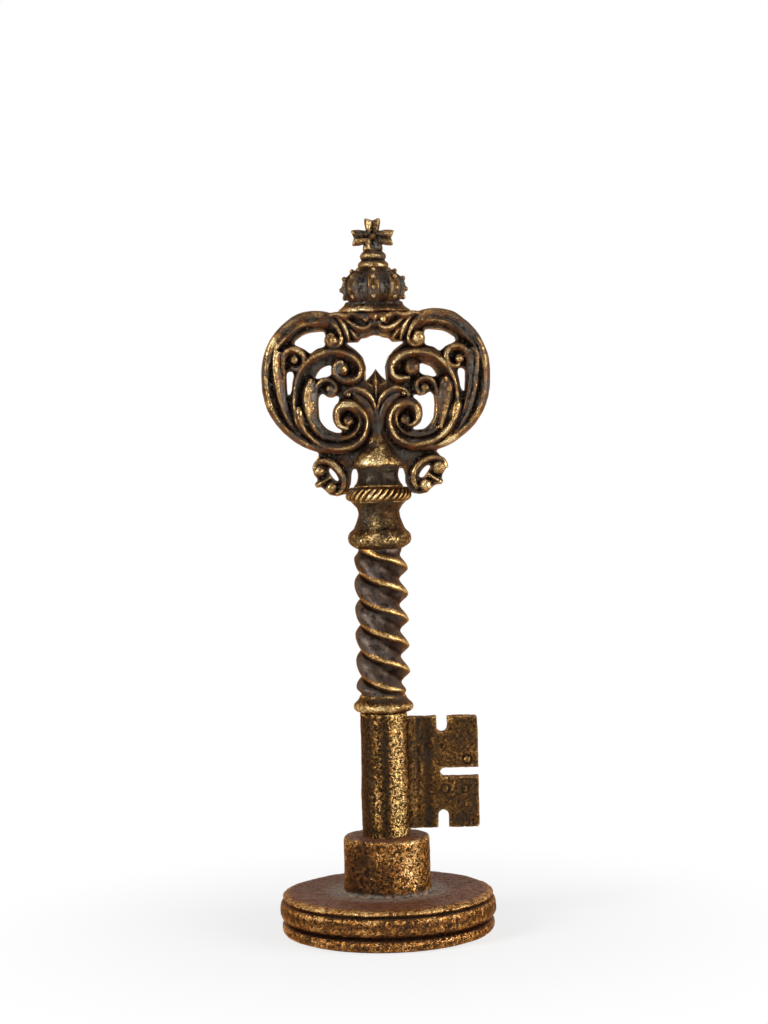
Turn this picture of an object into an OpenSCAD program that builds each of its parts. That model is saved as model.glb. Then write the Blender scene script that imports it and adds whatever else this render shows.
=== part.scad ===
// Decorative key on a round stand. The key stands on its base, +Z up, front towards -Y,
// bit towards +X. The origin is the middle of the felt's underside.

/* [Key] */
// Height of the whole key; the twisted column takes up what the other pieces leave
key_h = 381; // [345:0.5:440]

/* [Base] */
// Radius of the base at its widest band
base_r = 57.8; // [50:0.2:70]
// Thickness of the felt pad
felt_t = 1.2; // [0.8:0.1:3]
// How far the felt stands proud of the foot plate
felt_proud = 0.4; // [0.2:0.1:0.6]
// Margin between the felt and the edge of the foot plate
felt_margin = 5; // [3:0.5:12]
// Height of the foot plate under the dark groove
foot_h = 7; // [6:0.2:12]
// Height of the base disc above the groove
disc_h = 14.6; // [13:0.2:26]
// Depth of the groove between foot plate and base disc
seam_depth = 2.3; // [1:0.1:4]
// Radius of the pedestal
pedestal_r = 23.1; // [19:0.1:30]
// Height of the pedestal
pedestal_h = 29.5; // [20:0.5:45]
// Radius of the hollow fillet at the pedestal's foot
pedestal_fillet = 3; // [1:0.1:5]

/* [Shank] */
// Radius of the barrel
barrel_r = 12.8; // [12:0.1:16]
// Height of the barrel
barrel_h = 66.5; // [64:0.5:90]
// Largest radius of the bead above the barrel
bead_r = 16.2; // [14:0.1:20]
// Height of the bead
bead_h = 9; // [7:0.1:12]
// Radius on the crest of the twist
twist_crest_r = 14.7; // [13:0.1:18]
// Radius in the hollow of the twist
twist_hollow_r = 10; // [9:0.1:12.5]
// Distance from one crest of the twist to the next
twist_pitch = 13.8; // [10:0.1:24]
// Number of strands in the twist
strands = 2; // [1:1:4]
// Radius of the ring at the foot of the neck
neck_r = 17.1; // [15:0.1:20]
// Height of the neck
neck_h = 25.5; // [20:0.5:36]
// Radius on the ridges of the gadroon ring
rope_r = 17.5; // [16:0.1:22]
// Height of the gadroon ring
rope_h = 7.5; // [5:0.1:10]
// Number of slanted ridges on the gadroon ring
rope_ridges = 30; // [12:1:36]
// Radius of the drum's waist
drum_r = 10.8; // [10.5:0.1:13]
// Radius of the bell's lip
bell_r = 13; // [12:0.1:15]

/* [Bit] */
// Distance from the key's axis to the end of the bit
bit_reach = 50; // [44:0.5:70]
// Height of the bit
bit_h = 60; // [50:0.5:64]
// Thickness of the bit
bit_t = 7; // [4:0.2:9]
// Distance from the key's axis to the middle of the end notches
notch_x = 30.8; // [26:0.2:36]
// Width of the end notches
notch_w = 5.6; // [3:0.1:8]
// Depth of the upper notch
top_notch = 8.5; // [3:0.1:14]
// Depth of the lower notch
low_notch = 9.5; // [3:0.1:14]
// Width of the slot that opens at the bit's end
slot_w = 5; // [3:0.1:8]
// Distance from the key's axis to the closed end of the slot
slot_x = 29.4; // [24:0.2:36]
// Radius of the bit's outer corners
bit_corner = 1.5; // [0.5:0.1:3]
// Radius of the round rib where the bit meets the barrel
rib_r = 4.6; // [4.5:0.1:6]

/* [Bow] */
// Width over both scroll castings
bow_w = 121.8; // [100:0.2:150]
// Height of the scroll castings above the bell
bow_h = 75; // [60:0.5:95]
// Thickness over the deepest scroll ridges
bow_t = 18; // [14:0.2:26]

/* [Crown] */
// Radius of the crown seat
seat_r = 20.2; // [18:0.1:24]
// Height of the crown seat
seat_h = 5.5; // [4.5:0.1:8]
// Radius of the crown's lobes
crown_r = 17.2; // [14:0.1:20]
// Height of the crown
crown_h = 18; // [14:0.1:24]
// Number of lobes round the crown
lobes = 8; // [6:1:10]
// Radius of the pearls
pearl_r = 1.3; // [0.8:0.05:1.8]
// Radius of the lower finial ring
ring_r = 8.2; // [7:0.1:10]
// Height of the two finial rings together
rings_h = 9; // [7:0.1:12]
// Half the width over the cross's side arms
cross_reach = 11.2; // [9:0.1:14]
// Height of the cross
cross_h = 17.5; // [15:0.1:22]
// Thickness of the cross
cross_t = 6.4; // [5.6:0.1:8]

/* [Fastenings] */
// Radius of the tie rod
rod_r = 3; // [2.5:0.1:3.5]
// Width of the nut across its flats
nut_af = 10; // [8:0.5:12]
// Height of the nut
nut_h = 5; // [4:0.1:6]
// Radius of the washer
washer_r = 9; // [7:0.5:10]
// Thickness of the washer
washer_t = 1.6; // [1:0.1:2.5]
// Radius of the pocket for nut and washer
pocket_r = 12; // [11:0.5:16]
// Radius of the foot screws' shanks
screw_r = 2; // [1.5:0.1:2.5]
// Length of the foot screws
screw_l = 13; // [9:0.5:14]
// Radius of the circle that the foot screws stand on
screw_circle_r = 40; // [32:1:44]
// Number of foot screws
screws = 3; // [3:1:6]
// Radius of the pin through the stem
bow_pin_r = 1.5; // [1:0.1:1.8]
// Length of the pin through the stem
bow_pin_l = 20; // [14:0.5:22]
// Radius of the pins under the crown seat
crown_pin_r = 1.2; // [0.8:0.1:1.5]
// Distance from the key's axis to the crown pins
crown_pin_x = 9; // [8:0.5:12]
// Radius of the stud through crown and rings
stud_r = 2; // [1.5:0.1:2.4]

/* [Fits] */
// Radial clearance of rods, pins and screws in their holes
hole_gap = 0.15; // [0.05:0.05:0.3]
// Radial clearance of spigots in their sockets
spigot_gap = 0.1; // [0.05:0.05:0.3]
// Clearance between neighbouring castings
cast_gap = 0.12; // [0.05:0.01:0.3]

/* [Hidden] */
$fn = 96;

// Colours of the rubbed bronze castings, the steel and the felt
bronze = "#7c5a30";
dark_bronze = "#4c3d30";
steel = "#8d8f92";
felt = "#23211f";

// Height from the bell post's lower edge to the zero of the bow's drawing
post_rise = 18;
// Height of the twisted column
twist_h = key_h - felt_proud - foot_h - disc_h - pedestal_h - barrel_h - bead_h - neck_h - rope_h
    - post_rise - bow_h - seat_h - crown_h - rings_h - cross_h;

// Levels, from the table upwards
z_foot = felt_proud;
z_disc = z_foot + foot_h;
z_pedestal = z_disc + disc_h;
z_barrel = z_pedestal + pedestal_h;
z_bead = z_barrel + barrel_h;
z_twist = z_bead + bead_h;
z_neck = z_twist + twist_h;
z_rope = z_neck + neck_h;
z_post = z_rope + rope_h;
z_bow = z_post + post_rise;
z_seat = z_bow + bow_h;
z_crown = z_seat + seat_h;
z_rings = z_crown + crown_h;
z_cross = z_rings + rings_h;

// Spigots and sockets: radius and length of each spigot, room under each spigot's end
foot_spigot = [12, 6];
barrel_spigot = [9, 8];
shank_spigot = [7.5, 5];
neck_spigot = [6.5, 5];
post_spigot = [8, 5];
socket_room = 0.3;
rod_hole_r = rod_r + hole_gap;
tenon_r = 2;
tenon_l = 6.5;
rod_in_post = 14;

// Length of the pocket in the base disc's underside
pocket_in_disc = 3;
z_washer = z_disc + pocket_in_disc - washer_t;
z_nut = z_washer - nut_h;
z_rod_top = z_post + rod_in_post;

// Height of the bar of metal that the crown pins stand in, and of the pin through the stem
crown_pin_depth = 6.5;
z_bow_pin = z_bow + 12;

// Points of an arc about [r, z], from angle a to angle b
function arc(r, z, radius, a, b, steps = 6) =
    [for (i = [0:steps]) let (t = a + (b - a) * i / steps) [r + radius * cos(t), z + radius * sin(t)]];

// One point of a smooth curve between the rows b and c, with their neighbours a and d
function between(a, b, c, d, t) = 0.5 * (2 * b + (c - a) * t
    + (2 * a - 5 * b + 4 * c - d) * t * t + (3 * b - a - 3 * c + d) * t * t * t);

// A smooth curve through rows, with the same number of steps from each row to the next
function curve(rows, steps) = let (last = len(rows) - 1) [
    for (i = [0:last - 1], k = [0:steps - 1])
        between(rows[max(i - 1, 0)], rows[i], rows[i + 1], rows[min(i + 2, last)], k / steps),
    rows[last]];

// Closed skin over rings of points that all have the same number of points
module loft(rings) {
    m = len(rings[0]);
    last = len(rings) - 1;
    sides = [for (i = [0:last - 1], k = [0:m - 1]) let (a = i * m + k, b = i * m + (k + 1) % m)
        each [[a, b + m, b], [a, a + m, b + m]]];
    ends = [[for (k = [0:m - 1]) k], [for (k = [m - 1:-1:0]) last * m + k]];
    polyhedron(points = [for (ring = rings) each ring], faces = concat(sides, ends));
}

// A turned piece from its outline of [radius, height] points
module turned(outline) {
    rotate_extrude() polygon(outline);
}

module rod_hole(z, h) {
    translate([0, 0, z - 1]) cylinder(r = rod_hole_r, h = h + 2);
}

module spigot(size, z) {
    translate([0, 0, z - size[1]]) cylinder(r = size[0], h = size[1] + 1);
}

module socket(size, z) {
    translate([0, 0, z - size[1] - socket_room])
        cylinder(r = size[0] + spigot_gap, h = size[1] + socket_room + 1);
}

// Foot screws

screw_head_r = 2 * screw_r;
z_screw = z_foot + felt_t - felt_proud;

module at_screws() {
    for (i = [0:screws - 1]) rotate([0, 0, 90 + 360 * i / screws]) translate([screw_circle_r, 0, z_screw])
        children();
}

module screw_form(gap) {
    head_h = screw_head_r - screw_r;
    cylinder(r1 = screw_head_r + gap, r2 = screw_r + gap, h = head_h);
    cylinder(r = screw_r + gap, h = screw_l + (gap > 0 ? 1 : 0));
}

module foot_screws() {
    color(steel) difference() {
        at_screws() translate([0, 0, 0.2]) screw_form(0);
        at_screws() translate([-screw_r, -0.4, -1]) cube([2 * screw_r, 0.8, 1.9]);
    }
}

// Base

module felt_pad() {
    color(felt) cylinder(r = base_r - felt_margin - spigot_gap, h = felt_t);
}

module foot_plate() {
    r = base_r - 0.9;
    top = z_disc;
    color(bronze) difference() {
        turned(concat(
            [[0, z_foot]], arc(r - 2, z_foot + 2, 2, -90, 0), arc(r - 1, top - 2.2, 1, 0, 45, 2),
            [[r + 0.9 - seam_depth - 0.6, top - 0.4], [r + 0.9 - seam_depth - 1, top], [0, top]]));
        translate([0, 0, -1]) cylinder(r = base_r - felt_margin, h = z_screw + 1);
        cylinder(r = pocket_r, h = 3 * foot_h);
        at_screws() translate([0, 0, 0.2]) screw_form(hole_gap);
        at_screws() translate([0, 0, -1]) cylinder(r = screw_head_r + hole_gap, h = 1.2);
    }
}

module base_disc() {
    r = base_r;
    top = z_pedestal;
    color(bronze) difference() {
        turned([
            [0, z_disc], [r - seam_depth - 1, z_disc], [r - seam_depth - 0.6, z_disc + 0.4],
            [r - 0.9, z_disc + 1.8], [r - 0.3, z_disc + 2.6], [r, z_disc + 4.4],
            [r - 0.2, top - 7], [r - 0.6, top - 4.8], [r - 1.2, top - 4],
            [r - 2.3, top - 3.3], [r - 1.6, top - 2.6], [r - 1.3, top - 1.8],
            [r - 1.6, top - 0.9], [r - 2.4, top - 0.3], [r - 3.8, top], [0, top]]);
        socket(foot_spigot, z_pedestal);
        rod_hole(z_disc, disc_h);
        translate([0, 0, z_disc - 1]) cylinder(r = pocket_r, h = pocket_in_disc + 1);
        at_screws() cylinder(r = screw_r + hole_gap, h = screw_l + 1);
    }
}

module pedestal() {
    f = pedestal_fillet;
    edge = 1.2;
    top = z_barrel;
    color(bronze) difference() {
        union() {
            turned(concat(
                [[0, z_pedestal], [pedestal_r + f, z_pedestal]],
                arc(pedestal_r + f, z_pedestal + f + 0.4, f, -90, -180),
                arc(pedestal_r - edge, top - edge, edge, 0, 90), [[0, top]]));
            spigot(foot_spigot, z_pedestal);
        }
        socket(barrel_spigot, z_barrel);
        rod_hole(z_pedestal - foot_spigot[1], pedestal_h + foot_spigot[1]);
    }
}

module base_washer() {
    color(steel) translate([0, 0, z_washer]) difference() {
        cylinder(r = washer_r, h = washer_t);
        translate([0, 0, -1]) cylinder(r = rod_hole_r, h = washer_t + 2);
    }
}

module base_nut() {
    chamfer_r = nut_af / 2 * 1.09;
    color(steel) translate([0, 0, z_nut]) difference() {
        intersection() {
            cylinder(r = nut_af / 2 / cos(30), h = nut_h, $fn = 6);
            turned([[0, 0], [nut_af / 2, 0], [chamfer_r, 0.5], [chamfer_r, nut_h - 0.5],
                [nut_af / 2, nut_h], [0, nut_h]]);
        }
        translate([0, 0, -1]) cylinder(r = rod_r + 0.05, h = nut_h + 2);
    }
}

module tie_rod() {
    z = z_nut - 1;
    color(steel) turned([[0, z], [rod_r - 0.5, z], [rod_r, z + 0.5], [rod_r, z_rod_top - 0.5],
        [rod_r - 0.5, z_rod_top], [0, z_rod_top]]);
}

// Barrel and bit

tang_t = bit_t - 1.6;
tang_depth = barrel_r - rod_hole_r - 2.6;
z_bit = z_barrel + (barrel_h - bit_h) / 2 + 0.3;
tang_z = z_bit + 6;
tang_h = bit_h - 12;

module barrel() {
    top = z_bead;
    color(bronze) difference() {
        union() {
            turned([[0, z_barrel], [barrel_r, z_barrel], [barrel_r, top - 0.8],
                [barrel_r - 0.8, top], [0, top]]);
            spigot(barrel_spigot, z_barrel);
            translate([0, 0, top - 1]) cylinder(r = shank_spigot[0], h = 1 + bead_h + shank_spigot[1]);
        }
        rod_hole(z_barrel - barrel_spigot[1], barrel_spigot[1] + barrel_h + bead_h + shank_spigot[1]);
        translate([barrel_r - tang_depth, -tang_t / 2 - cast_gap, tang_z - cast_gap])
            cube([2 * barrel_r, tang_t + 2 * cast_gap, tang_h + 2 * cast_gap]);
    }
}

// Flat outline of the bit, x along the reach and y up from the bit's lower edge
module bit_outline() {
    c = bit_corner;
    difference() {
        union() {
            square([bit_reach - c, bit_h]);
            translate([0, c]) square([bit_reach, bit_h - 2 * c]);
            for (y = [c, bit_h - c]) translate([bit_reach - c, y]) circle(r = c);
        }
        for (end = [[bit_h - top_notch, 1], [low_notch, -1]]) translate([notch_x, end[0]]) {
            round_r = notch_w / 2;
            translate([-round_r, end[1] > 0 ? round_r : -bit_h]) square([notch_w, bit_h - round_r]);
            translate([0, end[1] * round_r]) circle(r = round_r);
        }
        translate([slot_x + slot_w / 2, bit_h / 2]) {
            circle(r = slot_w / 2);
            translate([0, -slot_w / 2]) square([bit_reach, slot_w]);
        }
    }
}

module bit() {
    color(bronze) difference() {
        union() {
            translate([0, bit_t / 2, z_bit]) rotate([90, 0, 0]) linear_extrude(bit_t) bit_outline();
            translate([barrel_r + 1.6, 0, z_bit]) cylinder(r = rib_r, h = bit_h);
        }
        difference() {
            translate([0, 0, z_bit - 1]) cylinder(r = barrel_r + cast_gap, h = bit_h + 2);
            translate([barrel_r - tang_depth + cast_gap, -tang_t / 2, tang_z])
                cube([tang_depth + 1, tang_t, tang_h]);
        }
        translate([barrel_r + 8.6, 0, z_bit - 1]) for (side = [-1, 1])
            translate([0, side * (bit_t / 2 + 1.4), 0]) cylinder(r = 2.2, h = bit_h + 2);
    }
}

// Bead, twist and neck

module bead_collar() {
    h = bead_h;
    r = bead_r;
    bore = shank_spigot[0] + spigot_gap;
    color(bronze) translate([0, 0, z_bead]) turned([[bore, 0], [r - 2.9, 0], [r - 1.6, 0.08 * h],
        [r - 0.7, 0.2 * h], [r - 0.15, 0.36 * h], [r, 0.5 * h], [r - 0.35, 0.64 * h],
        [r - 1.3, 0.78 * h], [r - 2.7, 0.9 * h], [r - 3.9, h], [bore, h]]);
}

// Radius of the twist, u of the way from one crest to the next
function twist_radius(u) = twist_crest_r
    - (twist_crest_r - twist_hollow_r) * pow(sin(180 * u), 1.3);

module twisted_shaft() {
    per_strand = 10;
    n = strands * per_strand;
    slices = ceil(twist_h / 2);
    crest_height = twist_h - 10.4;
    turn = -360 / (strands * twist_pitch);
    color(dark_bronze) difference() {
        loft([for (i = [0:slices]) let (z = twist_h * i / slices) [for (k = [0:n - 1])
            let (t = 360 * k / n + turn * (z - crest_height), r = twist_radius((k % per_strand) / per_strand))
            [r * cos(t), r * sin(t), z_twist + z]]]);
        rod_hole(z_twist, twist_h);
        translate([0, 0, z_twist - 1])
            cylinder(r = shank_spigot[0] + spigot_gap, h = shank_spigot[1] + socket_room + 1);
        socket(neck_spigot, z_neck);
    }
}

module neck_collar() {
    r = neck_r;
    h = neck_h;
    waist = 10.9;
    color(bronze) difference() {
        union() {
            translate([0, 0, z_neck]) turned(concat(
                [[0, 0], [r - 5.2, 0], [r - 4, 0.7], [r - 2.4, 1.6], [r - 0.8, 3], [r, 5], [r - 0.3, 7.4],
                    [r - 1.5, 9.2]],
                curve([[r - 3.3, 10.6], [waist + 1.4, 13.4], [waist + 0.3, 16.6], [waist, 19],
                    [waist + 0.4, h - 4.5], [waist + 1.7, h - 2.6], [waist + 4, h]], 2),
                [[0, h]]));
            spigot(neck_spigot, z_neck);
        }
        rod_hole(z_neck - neck_spigot[1], neck_spigot[1] + neck_h);
        socket(post_spigot, z_rope);
    }
}

module rope_collar() {
    per_ridge = 3;
    n = rope_ridges * per_ridge;
    heights = [0, 0.2, 0.5, 0.8, 1];
    drawn_in = [1.9, 0.3, 0, 0.6, 2.4];
    lean = 14;
    color(bronze) difference() {
        loft([for (i = [0:len(heights) - 1]) [for (k = [0:n - 1])
            let (t = 360 * k / n + lean * heights[i],
                r = rope_r - drawn_in[i] - 0.9 * pow(sin(180 * (k % per_ridge) / per_ridge), 2))
            [r * cos(t), r * sin(t), z_rope + rope_h * heights[i]]]]);
        translate([0, 0, z_rope - 1]) cylinder(r = post_spigot[0] + spigot_gap, h = rope_h + 2);
    }
}

// Outline of the drum and of the bell that flares down over it, above the gadroon ring
post_h = 24;
bell_rows = [[drum_r + 2.7, 0], [drum_r + 2.3, 1], [drum_r + 0.9, 2.4], [drum_r, 5], [drum_r, 7.6],
    [drum_r + 0.8, 9.6], [bell_r - 0.4, 11.3], [bell_r, 12.3], [bell_r - 0.1, 13.8], [bell_r - 0.6, 15.4],
    [bell_r - 2.1, 17.4], [bell_r - 4.6, 19.6], [bell_r - 6.5, 21.8], [bell_r - 7.6, post_h]];

// The bell and its drum, larger all round by gap
module bell_form(gap) {
    translate([0, 0, z_post])
        turned(concat([[0, 0]], [for (row = bell_rows) [row[0] + gap, row[1]]], [[0, post_h]]));
}

module bell_post() {
    color(dark_bronze) difference() {
        union() {
            bell_form(0);
            translate([0, 0, z_rope - post_spigot[1]])
                cylinder(r = post_spigot[0], h = post_spigot[1] + rope_h + 1);
        }
        translate([0, 0, z_rope - post_spigot[1] - 1])
            cylinder(r = rod_r + 0.05, h = z_rod_top + 0.5 - z_rope + post_spigot[1] + 1);
        translate([0, 0, z_post + post_h - tenon_l - socket_room])
            cylinder(r = tenon_r + spigot_gap, h = tenon_l + socket_room + 1);
    }
}

// Bow

// The bow is drawn as its left half, in a frame of its own: x is negative to the left, the
// second value is the height above the bell, and the third and fourth are half the width and
// half the depth of a stroke. Each drawn size is scaled to the bow's own width, height and depth.
drawn = [60.9, 75, 9];
scale_x = bow_w / 2 / drawn[0];
scale_z = bow_h / drawn[1];
scale_y = bow_t / 2 / drawn[2];

// Section of a stroke: a high ridge along one edge, falling to the other
ridge_section = [[1, -0.35], [0.5, -1], [-1, -0.5], [-1, 0.5], [0.5, 1], [1, 0.35]];
// Section of the two large scrolls: a high ridge, a hollow beside it, and a flat inner edge
scroll_section = [[1, -0.3], [0.55, -1], [-0.2, -0.6], [-1, -0.5], [-1, 0.5], [-0.2, 0.6], [0.55, 1],
    [1, 0.3]];
// Section of a leaf: highest along its middle
leaf_section = [[1, -0.35], [0, -1], [-1, -0.35], [-1, 0.35], [0, 1], [1, 0.35]];

// A stroke along rows of [x, height, half width, half depth]; side = -1 puts the ridge on the
// right of the way that the rows run
module stroke(rows, side = 1, section = ridge_section, steps = 2) {
    c = curve(rows, steps);
    last = len(c) - 1;
    loft([for (i = [0:last]) let (a = c[max(i - 1, 0)], b = c[min(i + 1, last)],
            along = [b[0] - a[0], b[1] - a[1]], across = [-along[1], along[0]] * side / norm(along))
        [for (k = [0:len(section) - 1]) let (q = section[side > 0 ? k : len(section) - 1 - k])
            [(c[i][0] + across[0] * q[0] * c[i][2]) * scale_x, q[1] * c[i][3] * scale_y,
                z_bow + (c[i][1] + across[1] * q[0] * c[i][2]) * scale_z]]]);
}

// A bead on both faces of the casting, from its row of [x, height, radius, how far it stands out]
module bead(row) {
    r = row[2];
    hull() for (face = [-1, 1])
        translate([row[0] * scale_x, face * (row[3] - r) * scale_y, z_bow + row[1] * scale_z])
            sphere(r = r, $fn = r > 2.4 ? 8 : 6);
}

// A plate in the bow's frame, through the given half depth
module plate(points, half) {
    translate([0, half * scale_y, z_bow]) rotate([90, 0, 0]) linear_extrude(2 * half * scale_y)
        polygon([for (p = points) [p[0] * scale_x, p[1] * scale_z]]);
}

rim = [[-19, 59, 1.2, 5], [-18.2, 62.2, 1.8, 6], [-19.4, 66.5, 2.2, 6.4], [-22, 70, 3, 6.5],
    [-27.5, 71.2, 5, 6.6], [-34, 71, 5.8, 6.8], [-40, 69.3, 5.7, 6.8], [-46, 65, 5.6, 6.8],
    [-51.5, 59.5, 5, 6.8], [-55.6, 53.5, 4, 6.6], [-57.8, 47, 2.9, 6.2], [-57.3, 32.5, 2.8, 6.2],
    [-54.8, 24.7, 2.8, 6.2], [-50.7, 17.5, 2.8, 6.2], [-45, 11.8, 2.8, 6.2], [-38.2, 6.8, 2.8, 6.2],
    [-31, 3.9, 2.6, 6], [-24, 2.8, 2, 5]];
rim_volute = [[-19, 67, 1.6, 6], [-17.8, 62.5, 1.8, 6.6], [-18.4, 60.4, 1.9, 6.7], [-19.6, 58.8, 2, 6.8],
    [-21.3, 58.1, 2, 6.8], [-23, 58.2, 2, 6.8], [-24.3, 59.4, 2, 6.7], [-25, 61, 1.9, 6.6],
    [-23.6, 63.2, 1.6, 6]];
outer_leaf = [[-43, 9, 1.2, 4.5], [-48.5, 16, 1.8, 5.5], [-52.2, 25, 2.3, 6], [-54, 35, 2.4, 6],
    [-54.2, 45, 2.4, 6], [-53.6, 51, 2.4, 6], [-51.6, 54.4, 1.6, 5.4]];
outer_curl = [[-40, 9, 1.4, 4], [-45.5, 16.5, 2, 4.6], [-48.8, 25, 2.4, 5], [-50.6, 35, 2.6, 5.2],
    [-51, 44, 2.8, 5.4], [-49.6, 50.5, 3, 5.6], [-48.2, 52.9, 3.1, 5.8], [-46.5, 54.6, 3.2, 6],
    [-44.4, 55.3, 3.2, 6.2], [-42.2, 55.2, 3.2, 6.4], [-40.3, 54, 3, 6.5], [-39, 52.3, 2.8, 6.6],
    [-38.8, 50.5, 2.5, 6.5], [-39.3, 48.8, 2.3, 6.4], [-40.6, 47.6, 2.1, 6.3], [-42.2, 46.9, 2, 6.2],
    [-45, 47.8, 1.6, 6]];
scroll = [[-33, 9, 1.8, 5], [-38.7, 12.3, 2.2, 5.6], [-42.3, 18.5, 2.4, 6], [-43.6, 26, 2.6, 6.4],
    [-42.3, 33.5, 3.4, 6.8], [-39.6, 41, 4.2, 7.2], [-35.2, 47.4, 4.8, 7.6], [-29.6, 51.2, 5, 8],
    [-23.5, 52.7, 4.7, 8.2], [-17.5, 52.4, 4.5, 8.4], [-12.2, 50.4, 4.6, 8.6], [-9.6, 45.5, 4.4, 8.6],
    [-10.5, 41.2, 3.8, 8.4], [-13.6, 40, 2.8, 8.2], [-17.2, 39.8, 2.4, 7.8], [-20, 41.6, 2, 7.4]];
low_scroll = [[-40, 13.5, 1.4, 4.6], [-36, 10, 3, 5.6], [-30, 7.8, 4.6, 6.6], [-24, 6.1, 5.2, 7.4],
    [-18, 6, 5.3, 8], [-12.3, 7.9, 4.8, 8.6], [-8.6, 11.6, 4.3, 9], [-7.2, 16.2, 3.7, 9],
    [-8.3, 21, 3.3, 8.8], [-11.5, 24.6, 3, 8.6], [-15.6, 25.7, 2.9, 8.4], [-19.1, 24, 2.8, 8.2],
    [-20.7, 20.6, 2.6, 8], [-19.8, 17.2, 2.2, 7.6], [-17, 15.4, 1.8, 7.2]];
inner_leaf = [[-31, 9, 1.6, 5], [-36.4, 15.5, 2, 5.6], [-38, 23, 2.3, 6], [-37.6, 30.5, 2.3, 6],
    [-36.6, 35.5, 2.2, 6], [-34.4, 38.6, 1.5, 5.4]];
inner_curl = [[-24, 8.5, 1.6, 5.2], [-29.4, 12.6, 2.3, 5.6], [-32.9, 18.5, 2.7, 5.8], [-34, 25, 2.7, 6],
    [-33.2, 31.5, 2.6, 6], [-31.9, 34.4, 2.6, 6.1], [-30.2, 36.8, 2.6, 6.2], [-28.1, 38.1, 2.6, 6.3],
    [-26, 38.6, 2.5, 6.4], [-24.1, 38, 2.4, 6.5], [-22.8, 36.8, 2.2, 6.6], [-22.4, 35.3, 2.1, 6.5],
    [-22.6, 33.9, 1.9, 6.4], [-24.8, 32.6, 1.6, 6.2]];
side_lobe = [[-35, 8.5, 1.2, 4.6], [-39.4, 14, 1.6, 5.4], [-41, 20, 1.8, 5.8], [-41.6, 25, 1.1, 5.2]];
brow = [[-27, 74.2, 1.6, 5.4], [-19.5, 71.5, 3, 6.6], [-13, 68.5, 3.8, 7.2], [-7.5, 67, 3.6, 7.4],
    [-3.8, 67, 2.8, 7.2], [-1.9, 69.4, 1.7, 6.8], [-3.3, 71.8, 1.4, 6.4]];
brow_bar = [[-27, 73.2, 1.6, 5], [-18, 73.2, 2.4, 5.6], [-9, 73, 2.6, 5.8], [1, 73, 2.6, 5.8]];
brow_leaf = [[-20.5, 72, 1.8, 5.6], [-17, 67, 2.6, 6.2], [-13, 63, 2.3, 6], [-8.2, 61, 1.1, 5]];
ear_ring = [[-33, -8.5, 1.6, 4.4], [-33.4, -5.3, 1.7, 4.6], [-30.8, -3, 2, 4.8], [-26, -3.2, 2.2, 5],
    [-23.2, -5.1, 2.3, 5], [-20.6, -7.6, 2.5, 5], [-17.5, -13.2, 3, 5], [-17.6, -15.8, 2.8, 4.9],
    [-18.5, -18, 2.5, 4.8], [-21.6, -21, 1.9, 4.6], [-25.4, -21, 1.6, 4.4]];
ear_bud = [[-25.5, -12, 1.4, 3.6], [-28.5, -14.4, 2, 4.2], [-31.4, -16.2, 1.7, 3.8],
    [-33.8, -17.6, 0.6, 2.2]];

// Beads in the curls
beads = [[-22.3, 61.2, 2.2, 8], [-43, 50.4, 2.2, 7.4], [-17.6, 45, 4, 8.6], [-25.2, 35.2, 1.9, 7],
    [-15.6, 18.8, 2.6, 8], [-4.8, 71.2, 1.8, 7.6], [-31.2, -8.4, 2.9, 6], [-25, -17.6, 2.7, 5.8]];

// Half the thickness of the body behind the strokes and of the stem's plate, and a depth that
// is clear of both faces
body_half = 3.4;
calyx_half = 2.6;
through = 12;

// Body behind the strokes, and its openings
back = [[1, 73.5], [-27, 73.5], [-36, 74], [-44, 70.6], [-51, 64.4], [-56, 57], [-58.8, 48], [-59.4, 39],
    [-58, 28.5], [-54.4, 20], [-48.4, 12.6], [-41, 7], [-33, 3], [-31.4, 0.4], [-32.4, -2.6], [-34.4, -5],
    [-35, -7.6], [-34.4, -10.4], [-32.8, -12.6], [-32.2, -16.8], [-29.4, -19], [-26, -22], [-22, -22.9],
    [-16.8, -21.6], [-14.6, -16], [-14.2, -11], [-13.4, -8.2], [-1, -8.2], [-1, 36], [-5.4, 38.6], [-5.3, 41],
    [-5, 46], [-6.6, 51.2], [-10, 55], [-14, 58], [-15.8, 59.4], [-13.4, 59.4], [-9, 59.3], [-7.2, 61.4],
    [-4, 62.4], [1, 63.3]];
top_gap = [[-42.8, 60], [-41.5, 62], [-38, 64], [-34, 65.2], [-28, 65.6], [-26.4, 64],
    [-26.6, 58], [-31, 56.3], [-33.5, 54.4], [-35, 54.2], [-37.5, 56.3], [-42.3, 58.6]];
outer_gap = [[-47.8, 43], [-46, 44.7], [-43.8, 43.8], [-44.2, 39], [-45.3, 33.5], [-47, 32], [-48.2, 34],
    [-48.3, 39]];
upper_gap = [[-32.4, 41], [-30, 45], [-27, 47], [-25, 47.7], [-23.4, 46.8], [-23.4, 44.5], [-24, 42.3],
    [-27, 41], [-31, 40.4]];
low_gap = [[-29, 32.3], [-25.5, 30.7], [-20.2, 31], [-20.2, 28], [-22, 26], [-23.4, 21.5], [-21.4, 15.2],
    [-18.8, 12.6], [-20, 11.3], [-23, 11.8], [-26.5, 13.6], [-29.4, 17], [-31.2, 21], [-31.5, 28]];
ear_gap = [[-26.2, -8.5], [-25, -7.1], [-23.3, -8.4], [-21.2, -11], [-20.4, -13.4], [-21.2, -14.3],
    [-23, -13.6], [-25, -11.4]];

// Space between the two scroll castings that the stem, its leaves and the spear stand in
stem_space = [[5.7, 6], [4.4, 9], [3.6, 12.6], [3.2, 17], [3, 22], [4.6, 27.6], [9, 29.6], [15, 29],
    [17.6, 31], [17.4, 34], [14, 36.6], [9, 37.6], [5.2, 38.9], [2.8, 41.2], [0, 45.4]];
stem_ends = [stem_space[0][1], stem_space[len(stem_space) - 1][1]];

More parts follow.
